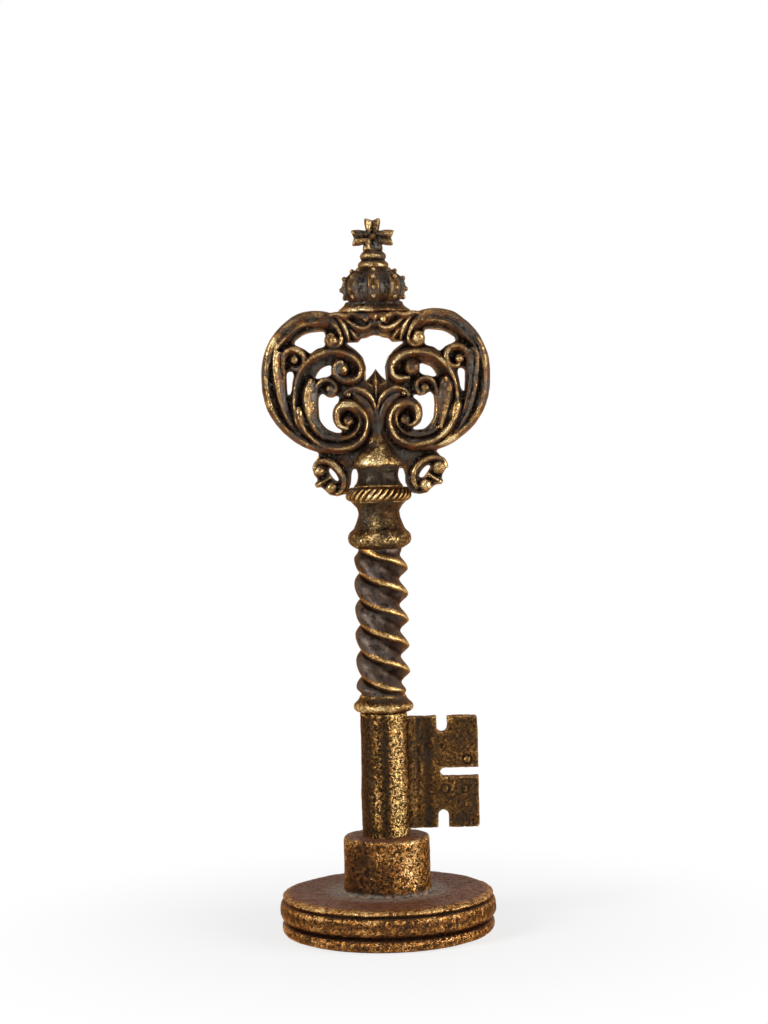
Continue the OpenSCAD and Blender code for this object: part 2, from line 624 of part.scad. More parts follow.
module bow_casting() {
    difference() {
        union() {
            difference() {
                plate(back, body_half);
                for (gap = [top_gap, outer_gap, upper_gap, low_gap, ear_gap]) plate(gap, through);
            }
            stroke(rim, side = -1);
            stroke(rim_volute, steps = 1);
            stroke(outer_leaf, section = leaf_section, steps = 1);
            stroke(outer_curl, steps = 1);
            stroke(scroll, section = scroll_section);
            stroke(low_scroll, side = -1, section = scroll_section);
            stroke(inner_leaf, section = leaf_section, steps = 1);
            stroke(inner_curl, steps = 1);
            stroke(side_lobe, section = leaf_section, steps = 1);
            stroke(brow);
            stroke(brow_bar, section = leaf_section, steps = 1);
            stroke(brow_leaf, section = leaf_section, steps = 1);
            stroke(ear_ring, steps = 1);
            stroke(ear_bud, section = leaf_section, steps = 1);
            for (row = beads) bead(row);
        }
        translate([-cast_gap / 2, -bow_t, z_rope - 10]) cube([20, 2 * bow_t, bow_h + 60]);
        translate([-seat_r, -bow_t, z_seat]) cube([seat_r + 1, 2 * bow_t, 10]);
        stem_cut();
        bell_form(cast_gap, $fn = 48);
        translate([0, 0, z_rope - 10]) cylinder(r = rope_r + cast_gap, h = rope_h + 10, $fn = 48);
        translate([-bow_pin_l / 2 - 0.3, 0, z_bow_pin]) rotate([0, 90, 0])
            cylinder(r = bow_pin_r + hole_gap, h = bow_pin_l, $fn = 16);
        translate([-crown_pin_x, 0, z_seat - crown_pin_depth - 0.3])
            cylinder(r = crown_pin_r + hole_gap, h = 10, $fn = 16);
    }
}

module stem_cut() {
    plate(concat([[1, stem_ends[0]]], [for (p = stem_space) [-p[0], p[1]]], [[1, stem_ends[1]]]), through);
}

module bow_left() {
    color(bronze) bow_casting();
}

module bow_right() {
    color(bronze) mirror([1, 0, 0]) bow_casting();
}

module bow_pin() {
    color(steel) translate([-bow_pin_l / 2, 0, z_bow_pin]) rotate([0, 90, 0])
        cylinder(r = bow_pin_r, h = bow_pin_l);
}

leaf = [[1, 26.5, 1.6, 5.6], [3.6, 30.2, 2.2, 6.4], [7, 33, 2.5, 7], [11, 34, 2.3, 7], [14.6, 33, 1.8, 6.6]];
spear = [[0, 25, 1.6, 4.6], [0, 33, 1.8, 5.4], [0, 38, 2.2, 5.6], [0, 41.5, 1.6, 4.6], [0, 44.3, 0.3, 1.6]];
stem = [[0, 6, 5.4, 5.4], [0, 9, 4.1, 4.9], [0, 12.6, 3.2, 4.5], [0, 17, 2.6, 4.3], [0, 23, 2.3, 4.6],
    [0, 28, 1.6, 5]];
leaf_bead = [14.7, 32, 1.6, 6.6];
calyx_plate = [[-18, 6], [18, 6], [18, 37], [4, 38], [0, 43], [-4, 38], [-18, 37]];

module calyx_stem() {
    inset = cast_gap / scale_x;
    body = concat([for (p = stem_space) [-p[0] + inset, p[1]]], [for (i = [len(stem_space) - 2:-1:0])
        [stem_space[i][0] - inset, stem_space[i][1]]]);
    color(bronze) difference() {
        union() {
            intersection() {
                plate(body, through);
                union() {
                    plate(calyx_plate, calyx_half);
                    for (side = [-1, 1]) mirror([side > 0 ? 0 : 1, 0, 0]) {
                        stroke(leaf, section = ridge_section);
                        bead(leaf_bead);
                    }
                    stroke(spear, section = leaf_section, steps = 1);
                    stroke(stem, section = leaf_section, steps = 1);
                }
            }
            translate([0, 0, z_post + post_h - tenon_l]) cylinder(r = tenon_r, h = tenon_l + 2);
        }
        translate([-bow_pin_l / 2, 0, z_bow_pin]) rotate([0, 90, 0])
            cylinder(r = bow_pin_r + hole_gap, h = bow_pin_l);
    }
}

// Crown

// How far the seat's outline lies inside its radius, at shares of its height
seat_in = [0.5, 0, 0.5, 1.3, 3, 4.6, 5, 5.2];
seat_shares = [0, 0.09, 0.26, 0.38, 0.55, 0.72, 0.86, 1];

module crown_seat() {
    h = seat_h;
    color(bronze) difference() {
        translate([0, 0, z_seat]) turned(concat([[0, 0]],
            [for (i = [0:len(seat_in) - 1]) [seat_r - seat_in[i], seat_shares[i] * h]], [[0, h]]));
        translate([0, 0, z_seat + 1.6]) cylinder(r = stud_r + 0.05, h = h);
        for (side = [-1, 1]) translate([side * crown_pin_x, 0, z_seat - 1])
            cylinder(r = crown_pin_r + hole_gap, h = 1 + 0.6 * h);
    }
}

module crown_pins() {
    color(steel) for (side = [-1, 1])
        translate([side * crown_pin_x, 0, z_seat - crown_pin_depth])
            cylinder(r = crown_pin_r, h = crown_pin_depth + 0.6 * seat_h - 0.3);
}

// Rows of [height, radius] up one lobe of the crown, as shares of its height and radius
lobe_rows = [[0, 0.8], [0.1, 0.9], [0.22, 0.96], [0.4, 1], [0.55, 0.985], [0.7, 0.9], [0.83, 0.76],
    [0.94, 0.6], [1, 0.5]];
// Rows of [height, radius] of the pearls up one lobe
pearl_rows = [[0.09, 0.88], [0.36, 1], [0.68, 0.93], [0.9, 0.68]];

// Rows of [share of the way, radius] from the middle of one lobe's raised strap to the next
strap_rows = [[0, 1], [0.25, 0.99], [0.3, 0.94], [0.5, 0.8], [0.7, 0.94], [0.75, 0.99]];

module crown_body() {
    color(bronze) difference() {
        union() {
            loft([for (row = lobe_rows) [for (i = [0:lobes - 1], place = strap_rows)
                let (t = -90 + 360 * (i + place[0]) / lobes, r = crown_r * row[1] * place[1])
                [r * cos(t), r * sin(t), z_crown + crown_h * row[0]]]]);
            for (i = [0:lobes - 1], row = pearl_rows) rotate([0, 0, -90 + 360 * i / lobes])
                translate([crown_r * row[1], 0, z_crown + crown_h * row[0]]) sphere(r = pearl_r, $fn = 24);
        }
        translate([0, 0, z_crown - 1]) cylinder(r = stud_r + hole_gap, h = crown_h + 2);
    }
}

z_stud = z_seat + 2;
stud_top = z_cross + 5;

module finial_stud() {
    color(steel) translate([0, 0, z_stud]) cylinder(r = stud_r, h = stud_top - z_stud);
}

module finial_rings() {
    r = ring_r;
    upper = ring_r - 1.2;
    h = rings_h;
    color(bronze) translate([0, 0, z_rings]) difference() {
        turned([[0, 0], [r - 0.6, 0], [r, 0.1 * h], [r, 0.24 * h], [r - 0.6, 0.36 * h], [r - 2, 0.46 * h],
            [upper - 0.8, 0.54 * h], [upper, 0.63 * h], [upper, 0.76 * h], [upper - 0.7, 0.88 * h],
            [upper - 2, h], [0, h]]);
        translate([0, 0, -1]) cylinder(r = stud_r + hole_gap, h = h + 2);
    }
}

// Outline of one arm of the cross along +X: rows of [length share, half width], then the notched end
arm_rows = [[0, 2.2], [0.3, 2.7], [0.5, 3.5], [0.68, 4.5], [0.86, 4.4], [1, 3.7]];
arm_notch = 0.8;

module arm(length, spread) {
    n = len(arm_rows);
    polygon(concat(
        [for (row = arm_rows) [row[0] * length, row[1] * spread]], [[length - arm_notch, 0]],
        [for (i = [n - 1:-1:0]) [arm_rows[i][0] * length, -arm_rows[i][1] * spread]]));
}

// The four arms, each narrowed to a share of its width
module arms(up, down, share) {
    for (turn = [0, 180]) rotate(turn) arm(cross_reach, 0.88 * share);
    rotate(90) arm(up, 0.98 * share);
    rotate(270) arm(down, 1.15 * share);
}

module cross() {
    down = 0.46 * cross_h;
    up = cross_h - down;
    z = z_cross + down;
    groove = 1.1;
    color(bronze) difference() {
        union() {
            translate([0, 0, z]) rotate([90, 0, 0]) {
                linear_extrude(0.6 * cross_t, center = true) arms(up, down, 1);
                linear_extrude(cross_t, center = true) arms(up, down, 0.74);
                cylinder(r = 2.3, h = cross_t + 0.4, center = true);
            }
            for (face = [-1, 1]) translate([0, face * cross_t / 2, z]) sphere(r = 1.3, $fn = 24);
        }
        for (face = [-1, 1], turn = [0:90:270]) translate([0, face * cross_t / 2, z]) rotate([0, turn, 0])
            translate([2.6, 0, 0]) rotate([45, 0, 0]) translate([0, -groove / 2, -groove / 2])
                cube([cross_reach, groove, groove]);
        translate([0, 0, z_cross - 1]) cylinder(r = stud_r + 0.05, h = stud_top + 0.3 - z_cross + 1);
    }
}

felt_pad();
foot_plate();
foot_screws();
base_disc();
pedestal();
barrel();
bit();
bead_collar();
twisted_shaft();
neck_collar();
rope_collar();
bell_post();
calyx_stem();
bow_left();
bow_right();
bow_pin();
crown_seat();
crown_pins();
crown_body();
finial_stud();
finial_rings();
cross();
tie_rod();
base_washer();
base_nut();
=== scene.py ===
"""Decorative key on a round stand: the shown surfaces of its castings, in antique rubbed bronze.

Sizes are in millimetres in the tables and in metres on the objects. The key stands on its felt,
+Z up, front towards -Y, bit towards +X.
"""

from __future__ import annotations

import logging
import math
from collections.abc import Callable
from dataclasses import dataclass, field, replace
from enum import Enum
from functools import partial

import bpy
import numpy as np
from mathutils import Matrix, Vector

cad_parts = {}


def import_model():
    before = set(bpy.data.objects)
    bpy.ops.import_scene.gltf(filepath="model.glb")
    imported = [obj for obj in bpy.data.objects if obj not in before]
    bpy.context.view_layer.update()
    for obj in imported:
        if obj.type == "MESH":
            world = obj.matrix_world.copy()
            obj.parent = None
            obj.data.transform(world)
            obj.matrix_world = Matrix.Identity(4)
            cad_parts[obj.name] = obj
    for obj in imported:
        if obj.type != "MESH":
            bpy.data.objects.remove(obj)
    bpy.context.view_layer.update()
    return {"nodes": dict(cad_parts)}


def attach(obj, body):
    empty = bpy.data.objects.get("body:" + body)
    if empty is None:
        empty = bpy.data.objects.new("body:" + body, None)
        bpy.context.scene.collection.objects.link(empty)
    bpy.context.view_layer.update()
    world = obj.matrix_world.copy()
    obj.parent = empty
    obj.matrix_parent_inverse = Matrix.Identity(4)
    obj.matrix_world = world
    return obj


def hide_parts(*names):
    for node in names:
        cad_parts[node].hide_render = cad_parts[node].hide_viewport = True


LOG = logging.getLogger("key")
MM = 0.001
Rows = list[list[float]]

# Levels of the joints between the pieces, in mm above the table
Z_TWIST, Z_NECK, Z_ROPE, Z_POST, Z_BOW, Z_CROWN, Z_CROSS = 127.0, 205.0, 230.5, 238.0, 256.0, 336.5, 363.5


# Shapes


@dataclass
class Skin:
    """A closed surface: points in mm and faces as tuples of point numbers."""

    points: np.ndarray
    faces: list[tuple[int, ...]]

    def moved(self, matrix: np.ndarray, shift: tuple[float, float, float] = (0, 0, 0)) -> Skin:
        """Turns or mirrors the skin, then shifts it.

        Args:
            matrix: 3 by 3 matrix for the points.
            shift: Move in mm.

        Returns:
            The new skin, with its faces still looking outwards.
        """
        points = self.points @ np.asarray(matrix, float).T + np.asarray(shift, float)
        faces = self.faces if np.linalg.det(matrix) > 0 else [f[::-1] for f in self.faces]
        return Skin(points, faces)


def joined(skins: list[Skin]) -> Skin:
    """Puts several skins into one list of points and faces.

    Args:
        skins: The skins to join.

    Returns:
        One skin, with nothing welded.
    """
    starts = np.cumsum([0] + [len(s.points) for s in skins])
    faces = [tuple(int(i + start) for i in f) for s, start in zip(skins, starts) for f in s.faces]
    return Skin(np.concatenate([s.points for s in skins]), faces)


def rings_skin(rings: np.ndarray) -> Skin:
    """Skins a stack of closed rings, with a flat end on the first and the last.

    Args:
        rings: Array of rings, points and 3 coordinates. The rings run anticlockwise seen from
            the last ring.

    Returns:
        The closed skin.
    """
    count, size = rings.shape[:2]
    first = np.arange(size)
    near = (np.arange(count - 1)[:, None] * size + first).ravel()
    far = (np.arange(count - 1)[:, None] * size + np.roll(first, -1)).ravel()
    quads = np.stack([near, far, far + size, near + size], 1)
    faces = [tuple(q) for q in quads.tolist()]
    faces += [tuple(first[::-1].tolist()), tuple((first + (count - 1) * size).tolist())]
    return Skin(rings.reshape(-1, 3), faces)


def curve_through(rows: Rows, steps: int, closed: bool = False) -> np.ndarray:
    """Draws a smooth curve through rows of numbers.

    Args:
        rows: The rows that it passes through.
        steps: Steps from each row to the next.
        closed: True if the last row leads back to the first.

    Returns:
        The rows of the curve.
    """
    r = np.asarray(rows, float)
    n = len(r)
    last = n if closed else n - 1
    pick = (lambda i: r[i % n]) if closed else (lambda i: r[np.clip(i, 0, n - 1)])
    i = np.arange(last)
    a, b, c, d = pick(i - 1), pick(i), pick(i + 1), pick(i + 2)
    t = (np.arange(steps) / steps)[None, :, None]
    a, b, c, d = (v[:, None, :] for v in (a, b, c, d))
    out = 0.5 * (2 * b + (c - a) * t + (2 * a - 5 * b + 4 * c - d) * t**2 + (3 * b - a - 3 * c + d) * t**3)
    out = out.reshape(-1, r.shape[1])
    return out if closed else np.vstack([out, r[-1:]])


def rounded(profile: Rows, step: float, rounds: int) -> np.ndarray:
    """Walks along a profile in even steps and rounds its corners, as a polished casting has them.

    Args:
        profile: Rows of [radius, height] in mm.
        step: Length of a step in mm.
        rounds: Times that each point is averaged with its neighbours.

    Returns:
        The profile's new rows.
    """
    p = np.asarray(profile, float)
    run = np.concatenate([[0], np.cumsum(np.linalg.norm(np.diff(p, axis=0), axis=1))])
    at = np.linspace(0, run[-1], max(2, int(round(run[-1] / step)) + 1))
    q = np.stack([np.interp(at, run, p[:, k]) for k in (0, 1)], 1)
    for _ in range(rounds):
        q[1:-1] = 0.25 * q[:-2] + 0.5 * q[1:-1] + 0.25 * q[2:]
    return q


def full_turn(count: int) -> np.ndarray:
    """Gives the angles of a whole turn in even steps, from 0 on."""
    return np.arange(count) * 2 * math.pi / count


def round_rings(r: np.ndarray, z: np.ndarray, deep: float = 1.0) -> np.ndarray:
    """Lays rings round the Z axis.

    Args:
        r: Radius in mm of each point, rings by points.
        z: Height in mm of each point.
        deep: Share of its width that a ring measures from front to back.

    Returns:
        Array of rings, points and 3 coordinates.
    """
    turn = full_turn(r.shape[1])
    return np.stack([r * np.cos(turn), r * np.sin(turn) * deep, z], 2)


def ball(centre: tuple[float, float, float], radius: float, flat: float = 1.0, size: int = 20) -> Skin:
    """Makes a closed ball, or a button if it is flattened along Y.

    Args:
        centre: Middle in mm.
        radius: Radius in mm.
        flat: Share of the radius that is left along Y.
        size: Points round each ring.

    Returns:
        The ball's skin.
    """
    lat = np.radians(np.linspace(-84, 84, size // 2))  # it ends in two small flats
    wide, high = (np.repeat(v[:, None], size, 1) for v in (np.cos(lat), np.sin(lat)))
    return rings_skin(round_rings(wide, high, flat) * radius + np.asarray(centre, float))


def value_noise(points: np.ndarray, cell: float, seed: int) -> np.ndarray:
    """Gives smooth noise from -1 to 1 at points, the same on every run.

    Args:
        points: Points in mm.
        cell: Size of the lumps in mm.
        seed: Which noise.

    Returns:
        One number a point.
    """
    turn = np.array([[0.8, 0.6, 0.0], [-0.48, 0.64, 0.6], [0.36, -0.48, 0.8]])
    p = points @ turn.T / cell + seed * 7.31
    base = np.floor(p).astype(np.int64)
    f = p - base
    f = f * f * f * (f * (f * 6 - 15) + 10)
    total = np.zeros(len(points))
    for corner in range(8):
        o = np.array([corner & 1, corner >> 1 & 1, corner >> 2 & 1])
        k = base + o
        h = (k[:, 0] * 73856093) ^ (k[:, 1] * 19349663) ^ (k[:, 2] * 83492791) ^ (seed * 2654435)
        h = (h ^ (h >> 13)) * 1274126177 & 0xFFFFFFFF
        value = ((h ^ (h >> 16)) & 0xFFFF) / 32767.5 - 1
        total += value * np.prod(np.where(o, f, 1 - f), axis=1)
    return total


def smooth_step(low: float, high: float, x: np.ndarray) -> np.ndarray:
    """Runs from 0 at low to 1 at high, smoothly."""
    t = np.clip((x - low) / (high - low), 0, 1)
    return t * t * (3 - 2 * t)


# Meshes


def linked(name: str, data: bpy.types.ID) -> bpy.types.Object:
    """Makes an object of some data and links it to the scene.

    Args:
        name: Name of the object.
        data: Its mesh, light, curve or camera.

    Returns:
        The object.
    """
    made = bpy.data.objects.new(name, data)
    bpy.context.scene.collection.objects.link(made)
    return made


def mesh_object(name: str, skin: Skin) -> bpy.types.Object:
    """Makes an object from a skin.

    Args:
        name: Name of the object and its mesh.
        skin: Points in mm and faces.

    Returns:
        The linked object, in metres.
    """
    mesh = bpy.data.meshes.new(name)
    mesh.from_pydata((skin.points * MM).tolist(), [], skin.faces)
    mesh.update()
    return linked(name, mesh)


def settled_mesh(owner: bpy.types.Object) -> bpy.types.Mesh:
    """Turns an object with a curve or modifiers into a plain mesh, and removes it.

    Args:
        owner: The object.

    Returns:
        The mesh.
    """
    graph = bpy.context.evaluated_depsgraph_get()
    mesh = bpy.data.meshes.new_from_object(owner.evaluated_get(graph))
    data = owner.data
    bpy.data.objects.remove(owner)
    (bpy.data.curves if isinstance(data, bpy.types.Curve) else bpy.data.meshes).remove(data)
    return mesh


def mesh_points(mesh: bpy.types.Mesh) -> np.ndarray:
    """Reads a mesh's points.

    Args:
        mesh: The mesh.

    Returns:
        Array of points and 3 coordinates in mm.
    """
    flat = np.empty(len(mesh.vertices) * 3, np.float32)
    mesh.vertices.foreach_get("co", flat)
    return flat.reshape(-1, 3).astype(float) / MM


def mesh_normals(mesh: bpy.types.Mesh) -> np.ndarray:
    """Reads a mesh's normals.

    Args:
        mesh: The mesh.

    Returns:
        Array of points and 3 coordinates.
    """
    flat = np.empty(len(mesh.vertices) * 3, np.float32)
    mesh.vertex_normals.foreach_get("vector", flat)
    return flat.reshape(-1, 3).astype(float)


def set_points(mesh: bpy.types.Mesh, points: np.ndarray) -> None:
    """Moves a mesh's points, given in mm."""
    mesh.vertices.foreach_set("co", (points * MM).astype(np.float32).ravel())
    mesh.update()


class Averager:
    """Averages numbers over each point's neighbours."""

    def __init__(self, mesh: bpy.types.Mesh) -> None:
        """Reads the mesh's edges once.

        Args:
            mesh: The mesh whose points have the numbers.
        """
        flat = np.empty(len(mesh.edges) * 2, np.int32)
        mesh.edges.foreach_get("vertices", flat)
        edges = flat.reshape(-1, 2)
        self.here = np.concatenate([edges[:, 0], edges[:, 1]])
        self.there = np.concatenate([edges[:, 1], edges[:, 0]])
        self.size = len(mesh.vertices)
        self.share = 1.0 / np.maximum(np.bincount(self.here, minlength=self.size), 1)

    def once(self, values: np.ndarray) -> np.ndarray:
        """Gives the mean of each point's neighbours.

        Args:
            values: Array of points, or of points and columns.

        Returns:
            An array of the same shape.
        """
        if values.ndim == 1:
            return np.bincount(self.here, values[self.there], self.size) * self.share
        return np.stack([self.once(values[:, k]) for k in range(values.shape[1])], 1)

    def many(self, values: np.ndarray, rounds: int) -> np.ndarray:
        """Averages again and again, with half of the old value each time.

        Args:
            values: Array of points, or of points and columns.
            rounds: How often.

        Returns:
            An array of the same shape.
        """
        for _ in range(rounds):
            values = 0.5 * values + 0.5 * self.once(values)
        return values


def fused(name: str, skins: list[Skin], voxel: float, rounds: int) -> bpy.types.Object:
    """Melts overlapping skins into one casting with soft inner corners.

    Args:
        name: Name of the object.
        skins: Closed skins in mm that overlap.
        voxel: Size of the grid in mm.
        rounds: Rounds of smoothing after it.

    Returns:
        The fused object.
    """
    raw = mesh_object(name + ".raw", joined(skins))
    grid = raw.modifiers.new("melt", "REMESH")
    grid.mode, grid.voxel_size, grid.adaptivity = "VOXEL", voxel * MM, 0.0
    mesh = settled_mesh(raw)
    mesh.name = name
    average = Averager(mesh)
    points = mesh_points(mesh)
    for _ in range(rounds):
        for pull in (0.55, -0.50):  # a step in and one out keep the volume
            points += pull * (average.once(points) - points)
    set_points(mesh, average.many(points, 1))
    return linked(name, mesh)


@dataclass(frozen=True)
class Lumps:
    """How uneven a casting's skin is: lumps of several sizes, and pits from the sand mould."""

    seed: int
    layers: tuple[tuple[float, float], ...]  # size and height in mm
    pit_depth: float = 0.0
    pit_size: float = 1.5
    pit_share: float = 0.25  # how high the noise has to be for a pit: higher makes them rarer

    def apply(self, mesh: bpy.types.Mesh) -> None:
        """Pushes the mesh's points in and out along their normals.

        Args:
            mesh: The casting's mesh.
        """
        points, normals = mesh_points(mesh), mesh_normals(mesh)
        push = sum(h * value_noise(points, cell, self.seed + k) for k, (cell, h) in enumerate(self.layers))
        if self.pit_depth:
            pits = value_noise(points, self.pit_size, self.seed + 11)
            push = push - self.pit_depth * smooth_step(self.pit_share, self.pit_share + 0.35, pits)
        set_points(mesh, points + normals * push[:, None])


EDGE_REACH, BROAD_REACH = 1.1, 2.8  # how far in mm the wear looks for what stands proud


def tag_wear_and_light(mesh: bpy.types.Mesh, more: np.ndarray) -> None:
    """Stores on each point how proud it stands: "edge" over about 1 mm and "broad" over about 4 mm.

    Both are positive on ridges, where hands and cloths rub the patina off, and negative in hollows.
    The third value is what the piece adds where it is rubbed more or less than others, and its painted
    highlights and painted shade.

    Args:
        mesh: The casting's mesh.
        more: What the piece adds, with its painted highlights and painted shade, one number a point.
    """
    points, normals = mesh_points(mesh), mesh_normals(mesh)
    average = Averager(mesh)
    length = float(np.median(np.linalg.norm(points[average.here] - points[average.there], axis=1)))
    near = average.many(points, max(2, int(round((EDGE_REACH / length) ** 2))))
    far = average.many(near, min(150, max(8, int(round((BROAD_REACH / length) ** 2)))))
    values = {"handled": more}
    for name, gap, scale in (("edge", points - near, 0.13), ("broad", near - far, 0.55)):
        values[name] = np.clip(np.einsum("ij,ij->i", gap, normals) / scale, -2, 2)
    for name, value in values.items():
        layer = mesh.attributes.new(name, "FLOAT", "POINT")
        layer.data.foreach_set("value", average.many(value, 1).astype(np.float32))


# Finishes


def linear(code: str) -> tuple[float, float, float, float]:
    """Turns an sRGB colour into the linear one that shaders take.

    Args:
        code: Colour as "#rrggbb".

    Returns:
        Red, green, blue and 1.
    """
    parts = [int(code[i:i + 2], 16) / 255 for i in (1, 3, 5)]
    r, g, b = (c / 12.92 if c <= 0.04045 else ((c + 0.055) / 1.055) ** 2.4 for c in parts)
    return r, g, b, 1.0


# The setting that the second word of a node's kind gives, such as "Math ADD"
SETTING = {"Math": "operation", "VectorMath": "operation", "MapRange": "interpolation_type",
           "Mix": "data_type", "Attribute": "attribute_name"}
Adder = Callable[..., bpy.types.NodeSocket]  # add, with its tree filled in
Sockets = dict[str, bpy.types.NodeSocket]    # what is known of a surface, by name


def add(tree: bpy.types.NodeTree, kind: str, inputs: dict | tuple = (), out: int | str = 0
        ) -> bpy.types.NodeSocket | None:
    """Adds a node with its setting, values and links.

    Args:
        tree: The tree that gets it.
        kind: The node's type without "ShaderNode", and its setting after a space.
        inputs: For each input, by name or number or else in order, a number, a colour as "#rrggbb" or
            an output to link.
        out: Name or number of the output that is wanted.

    Returns:
        That output, if the node has any.
    """
    kind, _, choice = kind.partition(" ")
    node = tree.nodes.new("ShaderNode" + kind)
    if choice:
        setattr(node, SETTING[kind], choice)
    for key, value in inputs.items() if isinstance(inputs, dict) else enumerate(inputs):
        if isinstance(value, bpy.types.NodeSocket):
            tree.links.new(value, node.inputs[key])
        else:
            node.inputs[key].default_value = linear(value) if isinstance(value, str) else value
    return node.outputs[out] if len(node.outputs) else None


def emptied(owner: bpy.types.Material | bpy.types.World) -> Adder:
    """Empties a tree of nodes.

    Args:
        owner: The material or world that it belongs to.

    Returns:
        The function that adds nodes to it.
    """
    owner.use_nodes = True
    owner.node_tree.nodes.clear()
    return partial(add, owner.node_tree)


@dataclass(frozen=True)
class AntiqueBronze:
    """Cast bronze, stained dark and then rubbed back to the bright metal where it stands proud.

    The stain is a dull brown-black skin on the metal, the rubbed metal is a warm gold, and a
    coppery fringe lies between them, widest on faces that look down as a painted warm reflection.
    Worm-like pits from the sand mould keep their stain. Painted light is mixed into the colour: shade
    in the hollows, light specks as glints, orange-brown below and brick-brown above as reflections,
    and highlights and shade laid on the front of some pieces.
    """

    name: str
    stain: str = "#21140a"
    umber: str = "#402c19"
    slate: str = "#443b31"   # smooth faces, where the stain is thin and grey
    hollow_stain_and_shade: str = "#140b05"    # hollows: the stain that no cloth reaches, darkened further as painted shade
    copper: str = "#6f4a24"
    gold: str = "#ad8448"
    pale_gold: str = "#ecd5a2"
    glint_fleck: str = "#a59c8c"   # light grey specks: painted glints on the stain
    reflected_ochre: str = "#a8602a"   # painted warm reflection on faces that look down
    brick: str = "#6b3a28"   # faces that look up: a brick-brown film, with a painted low-angle reflection
    dust: str = "#8a8276"    # where a piece stands on the next
    sheen: str = "#b5654a"   # faint red of the stain, seen at a low angle
    tint: str = "#e9bd9b"    # colour of the gloss at a low angle
    rub: float = -0.35       # how far the rubbing reaches: higher shows more gold
    edge_gain: float = 0.9   # gold on ridges about 1 mm wide
    broad_gain: float = 0.5  # gold on whole bosses
    speckle: float = 1.0     # how broken the gold is
    speckle_mm: float = 1.3  # size of a speck
    patchy: float = 2.2      # how far whole areas differ
    worms: float = 0.0       # depth of stain in the worm-like pits
    worm_mm: float = 1.7     # from one pit to the next
    grain: float = 0.5       # height of the cast grain
    grain_mm: float = 0.7    # real grain is about 0.2 mm: drawn as coarse as it needs to show
    fringe: float = 0.6      # how far the copper reaches beside the gold
    bare: float = 0.0        # share of the copper that is missing in patches
    hollow_reach: float = 1.0       # how hollow a place has to be for the near-black of stain and painted shade: lower shows more
    under: float = 0.0       # share of the orange-brown painted reflection on faces that look down
    glint_share: float = 0.0      # share of the light grey specks, painted glints, that show
    bloom_and_reflection_share: float = 0.0     # share of the brick-brown on faces that look up, film and painted reflection
    dusty: float = 0.0       # share of the dust
    dust_at: tuple[float, float, float] = (0.0, 0.0, 0.0)  # radius, height and width of the dust in mm
    gold_roughness: float = 0.25
    stain_roughness: float = 0.36

    def noises(self, node: Adder) -> Sockets:
        """Adds the noises of the finish, mostly from -0.2 to 0.2.

        Args:
            node: Adds nodes to the material.

        Returns:
            The noises by name.
        """
        made = {}
        # Size in mm, finer layers, distortion, and a move in metres that makes it another noise
        for name, size, detail, warp, shift in (
                ("patch", 13.0, 3, 0.0, 0.0), ("mid", 4.0, 3, 0.4, 0.019),
                ("fine", self.speckle_mm, 4, 0.6, 0.013), ("worm", self.worm_mm, 2, 1.2, 0.029),
                ("grain", self.grain_mm, 3, 0.3, 0.083), ("bare", 6.0, 3, 0.0, 0.091),
                ("glint_noise", 0.9, 2, 0.5, 0.103), ("pale", 2.4, 3, 0.0, 0.041), ("under", 5.0, 3, 0.0, 0.117),
                ("bloom_and_reflection", 5.0, 4, 0.0, 0.057), ("dust", 2.2, 4, 0.0, 0.071)):
            at = node("VectorMath ADD", (node("TexCoord", out="Object"), (shift, shift, -shift)))
            noise = node("TexNoise", {"Vector": at, "Scale": 1 / (size * MM), "Detail": detail,
                                      "Roughness": 0.6, "Distortion": warp}, "Fac")
            made[name] = node("Math SUBTRACT", (noise, 0.5))
        return made

    def crust(self, node: Adder, known: Sockets) -> bpy.types.NodeSocket:
        """Colours the stain, from slate and umber to the near-black hollows, which are partly painted shade,
        with light specks as painted glints and its copper fringe.

        Args:
            node: Adds nodes to the material.
            known: What is known of the surface.

        Returns:
            The colour.
        """
        deep = node("Math MULTIPLY_ADD", (known["broad"], -0.8, node("Math MULTIPLY", (known["edge"], -0.4))))
        # Faces that look down get more copper: a painted warm reflection from below.
        below = node("Math ADD", (known["proud"], node("Math MULTIPLY_ADD", (known["up"], -0.35, 0.1))))
        fringe = node("Math MULTIPLY", (
            node("MapRange SMOOTHSTEP", (below, -self.fringe, 0.05, 0.0, 0.85)),
            node("MapRange SMOOTHSTEP", (known["bare"], -0.06, 0.08, 1.0 - self.bare, 1.0))))
        colour = self.slate
        for share, tone in (
                (node("MapRange SMOOTHSTEP", (known["patch"], -0.1, 0.1)), self.umber),
                (node("MapRange SMOOTHSTEP", (known["mid"], -0.05, 0.2)), self.stain),
                # near-black in the hollows: the stain there, deepened as painted shade
                (node("MapRange SMOOTHSTEP", (deep, 0.15 * self.hollow_reach, self.hollow_reach)), self.hollow_stain_and_shade),
                # light grey specks painted on as glints
                (node("MapRange SMOOTHSTEP", (known["glint_noise"], 0.1, 0.2, 0.0, self.glint_share)), self.glint_fleck),
                (fringe, self.copper)):
            colour = node("Mix RGBA", {0: share, 6: colour, 7: tone}, 2)
        return colour

    def bloom_and_reflection(self, node: Adder, known: Sockets) -> bpy.types.NodeSocket:
        """Lays the brick-brown on open faces that look up, partly a film and partly a painted low-angle
        reflection: not where hands go or light and shade are painted, and not in a groove.

        Args:
            node: Adds nodes to the material.
            known: What is known of the surface.

        Returns:
            How much of it lies there.
        """
        # brick-brown on faces that look up: a film, and a painted reflection seen at a low angle
        made = node("MapRange SMOOTHSTEP", (known["up"], 0.55, 0.95, 0.0, self.bloom_and_reflection_share))
        handled_and_lit_size = node("Math ABSOLUTE", (known["handled"],))
        for row in ((known["bloom_and_reflection"], -0.25, 0.1), (known["broad"], -0.5, -0.1), (handled_and_lit_size, 0.9, 0.2)):
            made = node("Math MULTIPLY", (made, node("MapRange SMOOTHSTEP", row)))
        return made

